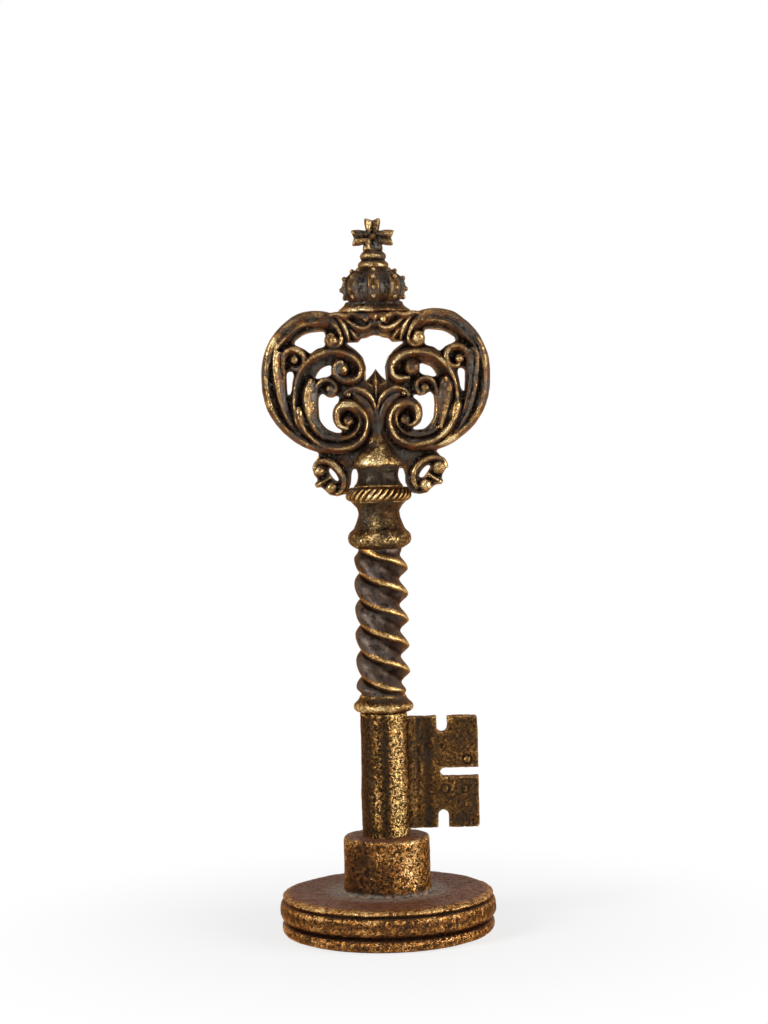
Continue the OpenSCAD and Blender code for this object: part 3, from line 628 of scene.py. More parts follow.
    def lying_dust(self, node: Adder, known: Sockets) -> bpy.types.NodeSocket:
        """Lays dust in a ring round the foot of the piece above.

        Args:
            node: Adds nodes to the material.
            known: What is known of the surface.

        Returns:
            How much of it lies there.
        """
        radius, height, width = self.dust_at
        place = node("TexCoord", out="Object")
        out = node("VectorMath LENGTH", (node("VectorMath MULTIPLY", (place, (1, 1, 0))),), "Value")
        places = ((out, radius), (node("SeparateXYZ", (place,), "Z"), height))
        off = node("Math ADD", tuple(
            node("Math ABSOLUTE", (node("Math SUBTRACT", (value, middle * MM)),))
            for value, middle in places))
        return node("Math MULTIPLY", (
            node("MapRange SMOOTHSTEP", (off, width * MM, 0.0)),
            node("MapRange SMOOTHSTEP", (known["dust"], -0.2, 0.1, 0.0, self.dusty))))

    def make(self) -> bpy.types.Material:
        """Builds the material.

        Returns:
            The material.
        """
        made = bpy.data.materials.new(self.name)
        node = emptied(made)
        known = self.noises(node)
        known |= {name: node("Attribute " + name, out="Fac") for name in ("edge", "broad", "handled")}
        known["up"] = node("SeparateXYZ", (node("NewGeometry", out="Normal"),), "Z")
        # Thin bands where this noise passes through its middle value are curved dashes, like the
        # pits that a sand mould leaves.
        groove = node("MapRange SMOOTHSTEP", (node("Math ABSOLUTE", (known["worm"],)), 0.075, 0.02))

        # How far the stain is rubbed off, with painted highlights and painted shade added on the front: gold
        # starts to show over 0
        proud = node("Math ADD", (known["handled"], self.rub))
        for value, gain in ((known["edge"], self.edge_gain), (known["broad"], self.broad_gain),
                            (known["fine"], 3.4 * self.speckle), (known["mid"], 1.6 * self.speckle),
                            (known["patch"], self.patchy), (groove, -self.worms)):
            proud = node("Math MULTIPLY_ADD", (value, gain, proud))
        known["proud"] = proud
        bright = node("MapRange SMOOTHSTEP", (proud, 0.0, 0.5))
        paler = node("Math MULTIPLY_ADD", (known["pale"], 2.0, proud))
        thin = node("MapRange SMOOTHSTEP", (paler, 0.25, 1.7))
        metal = node("Mix RGBA", {0: thin, 6: self.gold, 7: self.pale_gold}, 2)
        # orange-brown on faces that look down: a painted warm reflection from below
        reflected_below = node("Math MULTIPLY", (
            node("MapRange SMOOTHSTEP", (known["up"], -0.2, -0.85)),
            node("MapRange SMOOTHSTEP", (known["under"], -0.08, 0.1, 0.0, self.under))))
        bloom_and_reflection = self.bloom_and_reflection(node, known)
        layers = [(bright, metal), (reflected_below, self.reflected_ochre), (bloom_and_reflection, self.brick)]
        if self.dusty:
            lying = self.lying_dust(node, known)
            layers.append((lying, self.dust))
            bright = node("Math MULTIPLY", (bright, node("Math SUBTRACT", (1.0, lying))))
            bloom_and_reflection = node("Math MAXIMUM", (bloom_and_reflection, lying))
        colour = self.crust(node, known)
        for share, tone in layers:
            colour = node("Mix RGBA", {0: share, 6: colour, 7: tone}, 2)

        bare_metal = node("Math MULTIPLY", (bright, node("Math SUBTRACT", (1.0, bloom_and_reflection))))
        rough = node("Math MULTIPLY_ADD", (bloom_and_reflection, 0.3, self.stain_roughness))
        for value, gain in ((bare_metal, self.gold_roughness - self.stain_roughness), (known["fine"], 0.3)):
            rough = node("Math MULTIPLY_ADD", (value, gain, rough))
        relief = node("Math MULTIPLY", (groove, -0.5 * min(self.worms, 1.0)))
        for name, gain in (("grain", 1.0), ("fine", 0.9), ("mid", 0.8)):
            relief = node("Math MULTIPLY_ADD", (known[name], gain * self.grain, relief))
        node("OutputMaterial", (node("BsdfPrincipled", {
            "Base Color": colour, "Metallic": node("Math MULTIPLY_ADD", (bloom_and_reflection, -0.85, 0.9)),
            "Roughness": rough,
            "Normal": node("Bump", {"Strength": 0.8, "Distance": 0.4 * MM, "Height": relief}),
            "Specular Tint": self.tint, "Sheen Weight": 0.15, "Sheen Roughness": 0.3,
            "Sheen Tint": self.sheen}),))
        return made


@dataclass(frozen=True)
class ZincSteel:
    """Zinc-plated steel of bought hardware: a pale grey metal, a little dull, with faint turning marks."""

    name: str = "zinc_plated_steel"
    colour: str = "#b4b6b8"
    dull: str = "#9a9c9f"
    mark_mm: float = 0.4  # real marks are about 0.1 mm apart: drawn coarser, to show

    def make(self) -> bpy.types.Material:
        """Builds the material.

        Returns:
            The material.
        """
        made = bpy.data.materials.new(self.name)
        node = emptied(made)
        round_it = node("VectorMath MULTIPLY", (node("TexCoord", out="Object"), (0.1, 0.1, 1.0)))
        marks = node("TexNoise", {"Vector": round_it, "Scale": 1 / (self.mark_mm * MM), "Detail": 2.0}, "Fac")
        node("OutputMaterial", (node("BsdfPrincipled", {
            "Base Color": node("Mix RGBA", {0: marks, 6: self.dull, 7: self.colour}, 2), "Metallic": 1.0,
            "Roughness": node("MapRange", {"Value": marks, "To Min": 0.28, "To Max": 0.5}),
            "Normal": node("Bump", {"Strength": 0.2, "Distance": 0.05 * MM, "Height": marks})}),))
        return made


@dataclass(frozen=True)
class PressedFelt:
    """Pressed wool felt: near black, with a matted nap of fibres and a soft sheen."""

    name: str = "pressed_wool_felt"
    dark: str = "#1d1b1a"
    light: str = "#35322f"
    fibre_mm: float = 0.3  # real fibres are about 0.03 mm thick: drawn coarser, to show

    def make(self) -> bpy.types.Material:
        """Builds the material.

        Returns:
            The material.
        """
        made = bpy.data.materials.new(self.name)
        node = emptied(made)
        nap = node("TexNoise", {"Vector": node("TexCoord", out="Object"), "Scale": 1 / (self.fibre_mm * MM),
                                "Detail": 4.0, "Distortion": 1.5}, "Fac")
        node("OutputMaterial", (node("BsdfPrincipled", {
            "Base Color": node("Mix RGBA", {0: nap, 6: self.dark, 7: self.light}, 2), "Roughness": 0.95,
            "Normal": node("Bump", {"Strength": 0.8, "Distance": 0.2 * MM, "Height": nap}),
            "Sheen Weight": 0.4, "Sheen Roughness": 0.5}),))
        return made


_MATERIALS: dict[str, bpy.types.Material] = {}


def dress(mesh: bpy.types.Mesh, finish: AntiqueBronze | ZincSteel | PressedFelt) -> None:
    """Gives a mesh its finish as its only material; each finish is made once.

    Args:
        mesh: The mesh.
        finish: Its finish.
    """
    if finish.name not in _MATERIALS:
        _MATERIALS[finish.name] = finish.make()
    mesh.materials.clear()
    mesh.materials.append(_MATERIALS[finish.name])


BRONZE = AntiqueBronze("antique_bronze")
# Plain turned parts: gold right over, broken by worm-like pits
BARREL_BRONZE = replace(
    BRONZE, name="pitted_bronze_barrel", rub=-0.15, edge_gain=1.3, patchy=1.0, speckle=0.3, speckle_mm=1.0,
    worms=2.4, grain=0.9, fringe=0.7, gold="#b07d3e", pale_gold="#d8b676", copper="#5f4320", slate="#33291d",
    umber="#2b2015")
BIT_BRONZE = replace(
    BRONZE, name="pitted_bronze_bit", rub=-0.12, speckle=0.6, worms=1.3, worm_mm=1.5, grain=1.0, fringe=0.7,
    gold="#8d6638", pale_gold="#c49c60", copper="#62431f", slate="#332b22", umber="#3a2817")
PEDESTAL_BRONZE = replace(
    BRONZE, name="pitted_bronze_pedestal", rub=-0.05, edge_gain=1.2, patchy=3.0, speckle=0.4, speckle_mm=1.0,
    worms=1.7, grain=1.0, fringe=1.0, bloom_and_reflection_share=0.9, dusty=0.9, dust_at=(24.5, 22.4, 3.0), gold="#b57a38",
    pale_gold="#e6c084", copper="#7a4e28", slate="#31261b", umber="#2a1e14", brick="#64402e")
BASE_BRONZE = replace(
    PEDESTAL_BRONZE, name="pitted_bronze_base", rub=-0.3, edge_gain=1.0, speckle=0.55, worms=1.3,
    bloom_and_reflection_share=0.92, dusty=1.0, dust_at=(26.0, 22.2, 12.0))
# Parts in high relief: dark, with gold along the crests
TWIST_BRONZE = replace(
    BRONZE, name="dark_bronze_twist", rub=-1.1, edge_gain=0.4, broad_gain=0.1, patchy=1.2, speckle=1.1,
    speckle_mm=1.0, fringe=0.3, stain_roughness=0.42, stain="#2b211c", umber="#4b3e35", slate="#5e534c",
    pale_gold="#dcc088", copper="#75481e")
COLLAR_BRONZE = replace(BRONZE, name="rubbed_bronze_collars", rub=-0.3, speckle=0.9, worms=0.6, worm_mm=1.4)
NECK_BRONZE = replace(
    COLLAR_BRONZE, name="rubbed_bronze_neck", rub=-0.85, broad_gain=0.8, patchy=0.8, speckle=1.3, glint_share=0.4,
    copper="#5c4628", gold="#a07c46")
BELL_BRONZE = replace(
    COLLAR_BRONZE, name="rubbed_bronze_bell", rub=-0.85, broad_gain=0.7, patchy=1.0, speckle=1.1, glint_share=0.4,
    umber="#3b352d")
ROPE_BRONZE = replace(
    COLLAR_BRONZE, name="rubbed_bronze_gadroons", rub=-1.2, edge_gain=0.6, speckle=0.6, worms=0.0)
BOW_BRONZE = replace(
    BRONZE, name="rubbed_bronze_bow", rub=-0.76, edge_gain=0.25, broad_gain=1.35, patchy=4.6, speckle=0.75,
    speckle_mm=1.0, worms=1.0, worm_mm=0.9, grain=0.4, fringe=0.8, bare=0.8, glint_share=0.5, under=0.45,
    hollow_reach=0.55, gold_roughness=0.2, stain_roughness=0.32, slate="#57534c", umber="#453d34",
    pale_gold="#edd5a0", copper="#7d4a22", stain="#1c1713", hollow_stain_and_shade="#0d0805")
CROWN_BRONZE = replace(
    BRONZE, name="rubbed_bronze_crown", rub=-0.66, edge_gain=0.3, broad_gain=0.75, speckle=0.85,
    speckle_mm=1.0, worms=1.0, worm_mm=0.9, grain=0.45, fringe=0.8, bare=0.6, glint_share=0.6, under=0.3,
    hollow_reach=0.6, slate="#55524c", umber="#3f352b", pale_gold="#ecd2a0", stain="#1c1713", hollow_stain_and_shade="#0d0805")


# Castings


class Slot(Enum):
    """The record's material slots for castings."""

    CAST = "cast_bronze"
    DARK = "dark_bronze"


@dataclass
class Casting:
    """What every shown casting has in common: its node, its slot, its finish and its skin's lumps."""

    node: str
    finish: AntiqueBronze
    lumps: Lumps
    slot: Slot = Slot.CAST
    # Places on the front with more or less gold, mostly painted highlights and painted shade: x, z, two
    # radii, more or less gold
    lit_and_shaded_spots: tuple[tuple[float, ...], ...] = ()

    @property
    def label(self) -> str:
        """Names the shown object."""
        return self.node + "_cast"

    def handled(self, points: np.ndarray) -> np.ndarray:
        """Works out how much more gold each point shows than its shape alone would give it:
        wear, and at the front painted highlights and painted shade.

        Args:
            points: Points in mm.

        Returns:
            One number a point.
        """
        more = np.zeros(len(points))
        for x, z, wide, tall, amount in self.lit_and_shaded_spots:
            away = ((points[:, 0] - x) / wide) ** 2 + ((points[:, 2] - z) / tall) ** 2
            # only on the front that the camera sees: painted highlights and painted shade, with some wear
            more += amount * np.exp(-away) * (points[:, 1] < 0)
        return more

    def shape(self) -> bpy.types.Object:
        """Makes the plain shape; each kind of casting has its own."""
        raise NotImplementedError

    def build(self) -> bpy.types.Object:
        """Makes the casting, roughens, tags and dresses it, and puts it in its node's place.

        Returns:
            The finished object.
        """
        made = self.shape()
        mesh = made.data
        self.lumps.apply(mesh)
        tag_wear_and_light(mesh, self.handled(mesh_points(mesh)))
        mesh.shade_smooth()
        dress(mesh, self.finish)
        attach(made, "root")
        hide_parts(self.node)
        LOG.info("%s: %d points", made.name, len(mesh.vertices))
        return made


# Turned pieces


@dataclass
class Turned(Casting):
    """A casting finished on the lathe: a rounded profile, swept in a full circle."""

    profile: Rows = field(default_factory=list)  # rows of [radius, height] in mm
    step: float = 0.5
    corner: int = 3
    around: int = 240
    deep: float = 1.0  # share of its width that it measures from front to back, where it was filed flat
    worn_rims: tuple[tuple[float, ...], ...] = ()  # rubbed rings: radius, height, width, more or less gold

    def handled(self, points: np.ndarray) -> np.ndarray:
        """Adds the rubbed rings, which are stronger at the front.

        Args:
            points: Points in mm.

        Returns:
            One number a point.
        """
        more = super().handled(points)
        x, y, z = points.T
        for r, height, wide, amount in self.worn_rims:
            away = np.hypot(np.hypot(x, y) - r, 3 * (z - height))
            more += amount * np.exp(-(away / wide) ** 2) * (0.65 - 0.35 * y / r)
        return more

    def radius(self, turn: np.ndarray, r: np.ndarray, z: np.ndarray) -> np.ndarray:
        """Gives the radius at each place; a plain turned piece is round."""
        return r

    def shape(self) -> bpy.types.Object:
        """Sweeps the profile.

        Returns:
            The plain object.
        """
        p = rounded(self.profile, self.step, self.corner)
        r, z = (np.repeat(p[:, k:k + 1], self.around, 1) for k in (0, 1))
        turn = np.repeat(full_turn(self.around)[None, :], len(p), 0)
        return mesh_object(self.label, rings_skin(round_rings(self.radius(turn, r, z), z, self.deep)))


@dataclass
class RopeCollar(Turned):
    """The gadroon ring: round ridges that lean over, with sharp grooves between them."""

    ridges: int = 30
    lean: float = math.radians(19)
    depth: float = 1.3

    def radius(self, turn: np.ndarray, r: np.ndarray, z: np.ndarray) -> np.ndarray:
        """Cuts the grooves between the ridges, deepest at mid height.

        Args:
            turn: Angle of each point in radians.
            r: Its radius on the plain profile in mm.
            z: Its height in mm.

        Returns:
            Its radius.
        """
        height = (z - Z_ROPE) / (Z_POST - Z_ROPE)
        u = (turn - self.lean * height) * self.ridges / (2 * math.pi)
        wave = np.abs(np.sin(math.pi * u))
        groove = (1 - wave**0.7) * smooth_step(0.0, 0.25, height) * smooth_step(1.0, 0.86, height)
        return r - self.depth * groove


@dataclass
class TwistedShaft(Turned):
    """Two strands wound left-handed: sharp lips on the right, fuller rounder strands on the left."""

    crest: float = 14.7          # radius at a sharp lip
    hollow: float = 10.0         # and between two of them
    full_hollow: float = 9.9     # the same on the left side
    full_rise: float = 4.2
    full_lead: float = 0.18      # how far the full strands lie ahead of the lips, as a share of the pitch
    end: float = 11.6            # radius of the plain ends
    pitch: float = 13.8          # from one strand to the next
    crest_height: float = 194.2  # where a lip crosses +X
    strands: int = 2

    def wound(self, turn: np.ndarray, z: np.ndarray) -> np.ndarray:
        """Counts the strands passed at an angle and a height, whole numbers being on a lip."""
        return self.strands * turn / (2 * math.pi) + (z - self.crest_height) / self.pitch

    def radius(self, turn: np.ndarray, r: np.ndarray, z: np.ndarray) -> np.ndarray:
        """Winds the strands round the shaft.

        Args:
            turn: Angle of each point in radians.
            r: Its radius on the plain profile, not used here.
            z: Its height in mm.

        Returns:
            Its radius.
        """
        u = np.mod(self.wound(turn, z), 1.0)
        # The lip falls away steeply below and slowly above it.
        sharp = self.crest - (self.crest - self.hollow) * np.sin(math.pi * u**1.35) ** 1.25
        v = np.mod(u + self.full_lead, 1.0)
        swing = np.sin(math.pi * np.where(v < 0.66, v / 1.32, 0.5 + (v - 0.66) / 0.68))
        full = self.full_hollow + self.full_rise * swing ** 0.75
        left = smooth_step(0.25, 1.0, (1 - np.cos(turn)) / 2)
        ends = smooth_step(Z_NECK, Z_NECK - 5, z) * smooth_step(Z_TWIST, Z_TWIST + 4, z)
        return (sharp * (1 - left) + full * left) * ends + self.end * (1 - ends)

    def handled(self, points: np.ndarray) -> np.ndarray:
        """Rubs the lips of the strands, over about 3 mm.

        Args:
            points: Points in mm.

        Returns:
            One number a point.
        """
        x, y, z = points.T
        u = np.mod(self.wound(np.arctan2(y, x), z) + 0.5, 1.0) - 0.5
        wave = 0.03 * value_noise(points, 3.0, 67)
        return 1.25 * np.exp(-((u - 0.05 - wave) / 0.12) ** 4)


# Bit


def slab(outline: Rows | np.ndarray, half: float, holes: list[np.ndarray] | None = None) -> Skin:
    """Makes a flat plate in the XZ plane, with holes.

    Args:
        outline: Rows of [x, z] in mm.
        half: Half its thickness in mm.
        holes: Outlines of its holes.

    Returns:
        The plate's closed skin.
    """
    shape = bpy.data.curves.new("slab", "CURVE")
    shape.dimensions, shape.fill_mode, shape.extrude = "2D", "BOTH", half * MM
    for loop in [np.asarray(outline, float)] + list(holes or []):
        line = shape.splines.new("POLY")
        line.points.add(len(loop) - 1)
        rows = np.column_stack([loop * MM, np.zeros(len(loop)), np.ones(len(loop))])
        line.points.foreach_set("co", rows.ravel())
        line.use_cyclic_u = True
    mesh = settled_mesh(linked("slab", shape))
    points = mesh_points(mesh)
    faces = [tuple(p.vertices) for p in mesh.polygons]
    bpy.data.meshes.remove(mesh)
    return Skin(np.stack([points[:, 0], -points[:, 2], points[:, 1]], 1), faces)


def arc(x: float, z: float, r: float, a: float, b: float) -> Rows:
    """Gives nine points of an arc.

    Args:
        x: Middle along X in mm.
        z: Height of the middle in mm.
        r: Radius in mm.
        a: First angle in degrees.
        b: Last angle in degrees.

    Returns:
        Rows of [x, z].
    """
    return [[x + r * math.cos(t), z + r * math.sin(t)] for t in np.radians(np.linspace(a, b, 9))]


@dataclass
class Bit(Casting):
    """The flat plate of the key with its three cuts, the round rib by the barrel and the groove beside it."""

    start: float = 11.0
    reach: float = 50.0
    low: float = 55.3
    high: float = 114.8
    thick: float = 7.0
    corner: float = 1.5
    notch: tuple[float, float] = (30.8, 2.8)        # place along X and half width of the two notches
    notch_depths: tuple[float, float] = (9.5, 8.5)  # of the lower and the upper one
    cut: tuple[float, float, float] = (31.9, 84.8, 2.45)  # the long cut: x and z of its end, half its height
    rib: tuple[float, float] = (14.4, 4.6)          # place along X and radius
    groove: float = 22.9                            # place along X
    relief: float = 0.4                             # depth of the groove and the ring marks
    # Ring marks in its faces: x, z, radius and share of the full depth
    stamps: tuple[tuple[float, ...], ...] = (
        (44.0, 91.6, 2.3, 1.0), (31.8, 76.0, 2.4, 0.6), (24.2, 75.6, 2.3, 0.5), (42.4, 75.8, 2.1, 0.35),
        (30.4, 99.4, 0.3, 1.0))

    def outline(self) -> Rows:
        """Gives the plate's outline.

        Returns:
            Rows of [x, z], anticlockwise from the lower left corner.
        """
        c, low, high, end = self.corner, self.low, self.high, self.reach
        (at, n), (deep, shallow), (x, z, r) = self.notch, self.notch_depths, self.cut
        rows: Rows = [[self.start, low], [at - n, low]] + arc(at, low + deep - n, n, 180, 0) + [[at + n, low]]
        rows += arc(end - c, low + c, c, -90, 0) + [[end, z - r]] + arc(x, z, r, 270, 90) + [[end, z + r]]
        rows += arc(end - c, high - c, c, 0, 90) + [[at + n, high]] + arc(at, high - shallow + n, n, 0, -180)
        return rows + [[at - n, high], [self.start, high]]

    def shape(self) -> bpy.types.Object:
        """Fuses plate and rib, then presses the groove and the ring marks in.

        Returns:
            The plain object.
        """
        half = self.thick / 2
        z = np.repeat(np.linspace(self.low, self.high, 90)[:, None], 40, 1)
        rib_x, rib_r = self.rib
        rib = round_rings(np.full_like(z, rib_r), z) + np.array([rib_x, 0, 0])
        made = fused(self.label, [slab(self.outline(), half), rings_skin(rib)], voxel=0.42, rounds=3)
        points = mesh_points(made.data)
        x, y, z = points.T
        inward = self.relief * np.exp(-((x - self.groove) / 2.4) ** 2)
        for sx, sz, r, share in self.stamps:
            away = np.hypot(x - sx, z - sz)
            ring, middle = np.exp(-((away - r) / 0.55) ** 2), np.exp(-((away - 0.5 * r) / 0.5) ** 2)
            inward += share * (self.relief * ring - 0.5 * self.relief * middle)
        face = smooth_step(half * 0.5, half * 0.85, np.abs(y)) * smooth_step(19.0, 20.4, x)
        points[:, 1] -= np.sign(y) * inward * face
        set_points(made.data, points)
        return made

    def handled(self, points: np.ndarray) -> np.ndarray:
        """Keeps the stain in the groove and in the ring marks.

        Args:
            points: Points in mm.

        Returns:
            One number a point.
        """
        x, _, z = points.T
        more = super().handled(points) - 0.7 * np.exp(-((x - self.groove) / 2.2) ** 2)
        for sx, sz, r, share in self.stamps:
            more -= 0.9 * share * np.exp(-((np.hypot(x - sx, z - sz) - r) / 0.6) ** 2)
        return more


# Bow


class Section(Enum):
    """How a stroke is shaped across: [place from its ridge side (1) to the other (-1), half height]."""

    # A flank, a round crest inside it, and a flat band behind
    RIDGE = ((1.0, 0.12), (0.98, 0.4), (0.92, 0.62), (0.82, 0.8), (0.68, 0.94), (0.5, 1.0), (0.32, 0.97),
             (0.14, 0.87), (-0.06, 0.74), (-0.28, 0.63), (-0.5, 0.56), (-0.7, 0.54), (-0.86, 0.5),
             (-0.96, 0.38), (-1.0, 0.15))
    # The upper scroll: a wide flank and crest, a smooth hollow, and a thin lip at the inner edge
    CHANNEL = ((1.0, 0.12), (0.97, 0.38), (0.9, 0.58), (0.79, 0.78), (0.66, 0.92), (0.52, 0.99), (0.38, 0.98),
               (0.22, 0.87), (0.05, 0.73), (-0.14, 0.62), (-0.36, 0.55), (-0.58, 0.5), (-0.78, 0.46),
               (-0.93, 0.36), (-1.0, 0.15))
    # The lower scroll: as the upper one, with a second crest inside and a face falling from it
    BASIN = ((1.0, 0.12), (0.96, 0.4), (0.89, 0.6), (0.79, 0.82), (0.66, 0.96), (0.53, 1.0), (0.4, 0.93),
             (0.22, 0.72), (0.02, 0.56), (-0.16, 0.52), (-0.34, 0.62), (-0.48, 0.63), (-0.7, 0.48),
             (-0.93, 0.32), (-1.0, 0.12))
    # The rim's top: a flank, a crest, a broad band that is slightly hollow, and a sloping inner face
    RIM = ((1.0, 0.12), (0.98, 0.45), (0.9, 0.7), (0.78, 0.9), (0.62, 1.0), (0.46, 0.96), (0.26, 0.87),
           (0.04, 0.84), (-0.14, 0.88), (-0.28, 0.84), (-0.45, 0.64), (-0.62, 0.5), (-0.8, 0.42),
           (-0.95, 0.34), (-1.0, 0.12))
    # The rim's side: a broad round flank up to a crest in the middle
    FLANK = ((1.0, 0.12), (0.94, 0.4), (0.83, 0.6), (0.68, 0.75), (0.5, 0.87), (0.3, 0.96), (0.08, 1.0),
             (-0.08, 0.97), (-0.24, 0.86), (-0.4, 0.75), (-0.56, 0.7), (-0.72, 0.68), (-0.86, 0.62),
             (-0.95, 0.48), (-1.0, 0.15))
    ROLL = ((1.0, 0.12), (0.96, 0.42), (0.87, 0.66), (0.72, 0.84), (0.52, 0.95), (0.28, 1.0), (0.1, 1.0),
            (-0.08, 0.99), (-0.26, 0.96), (-0.44, 0.89), (-0.6, 0.8), (-0.74, 0.68), (-0.87, 0.5),
            (-0.96, 0.32), (-1.0, 0.12))
    LEAF = ((1.0, 0.12), (0.94, 0.42), (0.78, 0.58), (0.56, 0.7), (0.34, 0.83), (0.15, 0.95), (0.04, 1.0),
            (0.0, 1.0), (-0.04, 1.0), (-0.15, 0.95), (-0.34, 0.83), (-0.56, 0.7), (-0.78, 0.58),
            (-0.94, 0.42), (-1.0, 0.12))
    # A leaf with a broad round back on its outer side, falling to the inner edge
    BACK = ((1.0, 0.12), (0.95, 0.45), (0.85, 0.68), (0.7, 0.86), (0.5, 0.97), (0.3, 1.0), (0.1, 0.96),
            (-0.12, 0.89), (-0.34, 0.82), (-0.55, 0.76), (-0.74, 0.7), (-0.86, 0.62), (-0.94, 0.46),
            (-0.98, 0.3), (-1.0, 0.12))
    # A leaf that is hollow along its middle, with both edges raised
    SCOOP = ((1.0, 0.12), (0.97, 0.5), (0.89, 0.74), (0.76, 0.92), (0.58, 1.0), (0.4, 0.97), (0.2, 0.88),
             (0.0, 0.84), (-0.2, 0.85), (-0.4, 0.89), (-0.6, 0.9), (-0.78, 0.82), (-0.9, 0.64),
             (-0.97, 0.44), (-1.0, 0.12))


@dataclass(frozen=True)
class Stroke:
    """One swept form of the bow.

    Its rows are [x, height over the bell, half width, half depth] in mm, and may have a fifth
    number: how far the section has changed to the late one there.
    """

    rows: tuple[tuple[float, ...], ...]
    section: Section = Section.RIDGE
    side: int = 1
    late: Section = Section.ROLL
    pull: float = 0.0  # how far the crest lies further in, as a share of the half width

    def skin(self) -> Skin:
        """Sweeps the section along the rows.

        Returns:
            The closed skin.
        """
        c = curve_through([list(r) + [0.0] * (5 - len(r)) for r in self.rows], 8)
        along = np.gradient(c[:, :2], axis=0)
        along /= np.linalg.norm(along, axis=1)[:, None]
        across = np.stack([-along[:, 1], along[:, 0]], 1) * self.side
        share = np.clip(c[:, 4:5], 0, 1)
        early, late = (curve_through([list(r) for r in s.value], 3) for s in (self.section, self.late))
        place, tall = (early[:, k] * (1 - share) + late[:, k] * share for k in (0, 1))
        place = place - self.pull * (1 - place**2) * (0.5 + 0.5 * place)
        place = np.concatenate([place, place[:, ::-1]], 1)[:, ::self.side]
        tall = np.concatenate([-tall, tall[:, ::-1]], 1)[:, ::self.side]
        reach = place * c[:, 2:3]
        return rings_skin(np.stack([c[:, :1] + across[:, :1] * reach, tall * c[:, 3:4],
                                    c[:, 1:2] + across[:, 1:] * reach + Z_BOW], 2))


def mirror_image(skins: list[Skin]) -> list[Skin]:
    """Mirrors skins from left to right."""
    return [s.moved(np.diag([-1.0, 1.0, 1.0])) for s in skins]


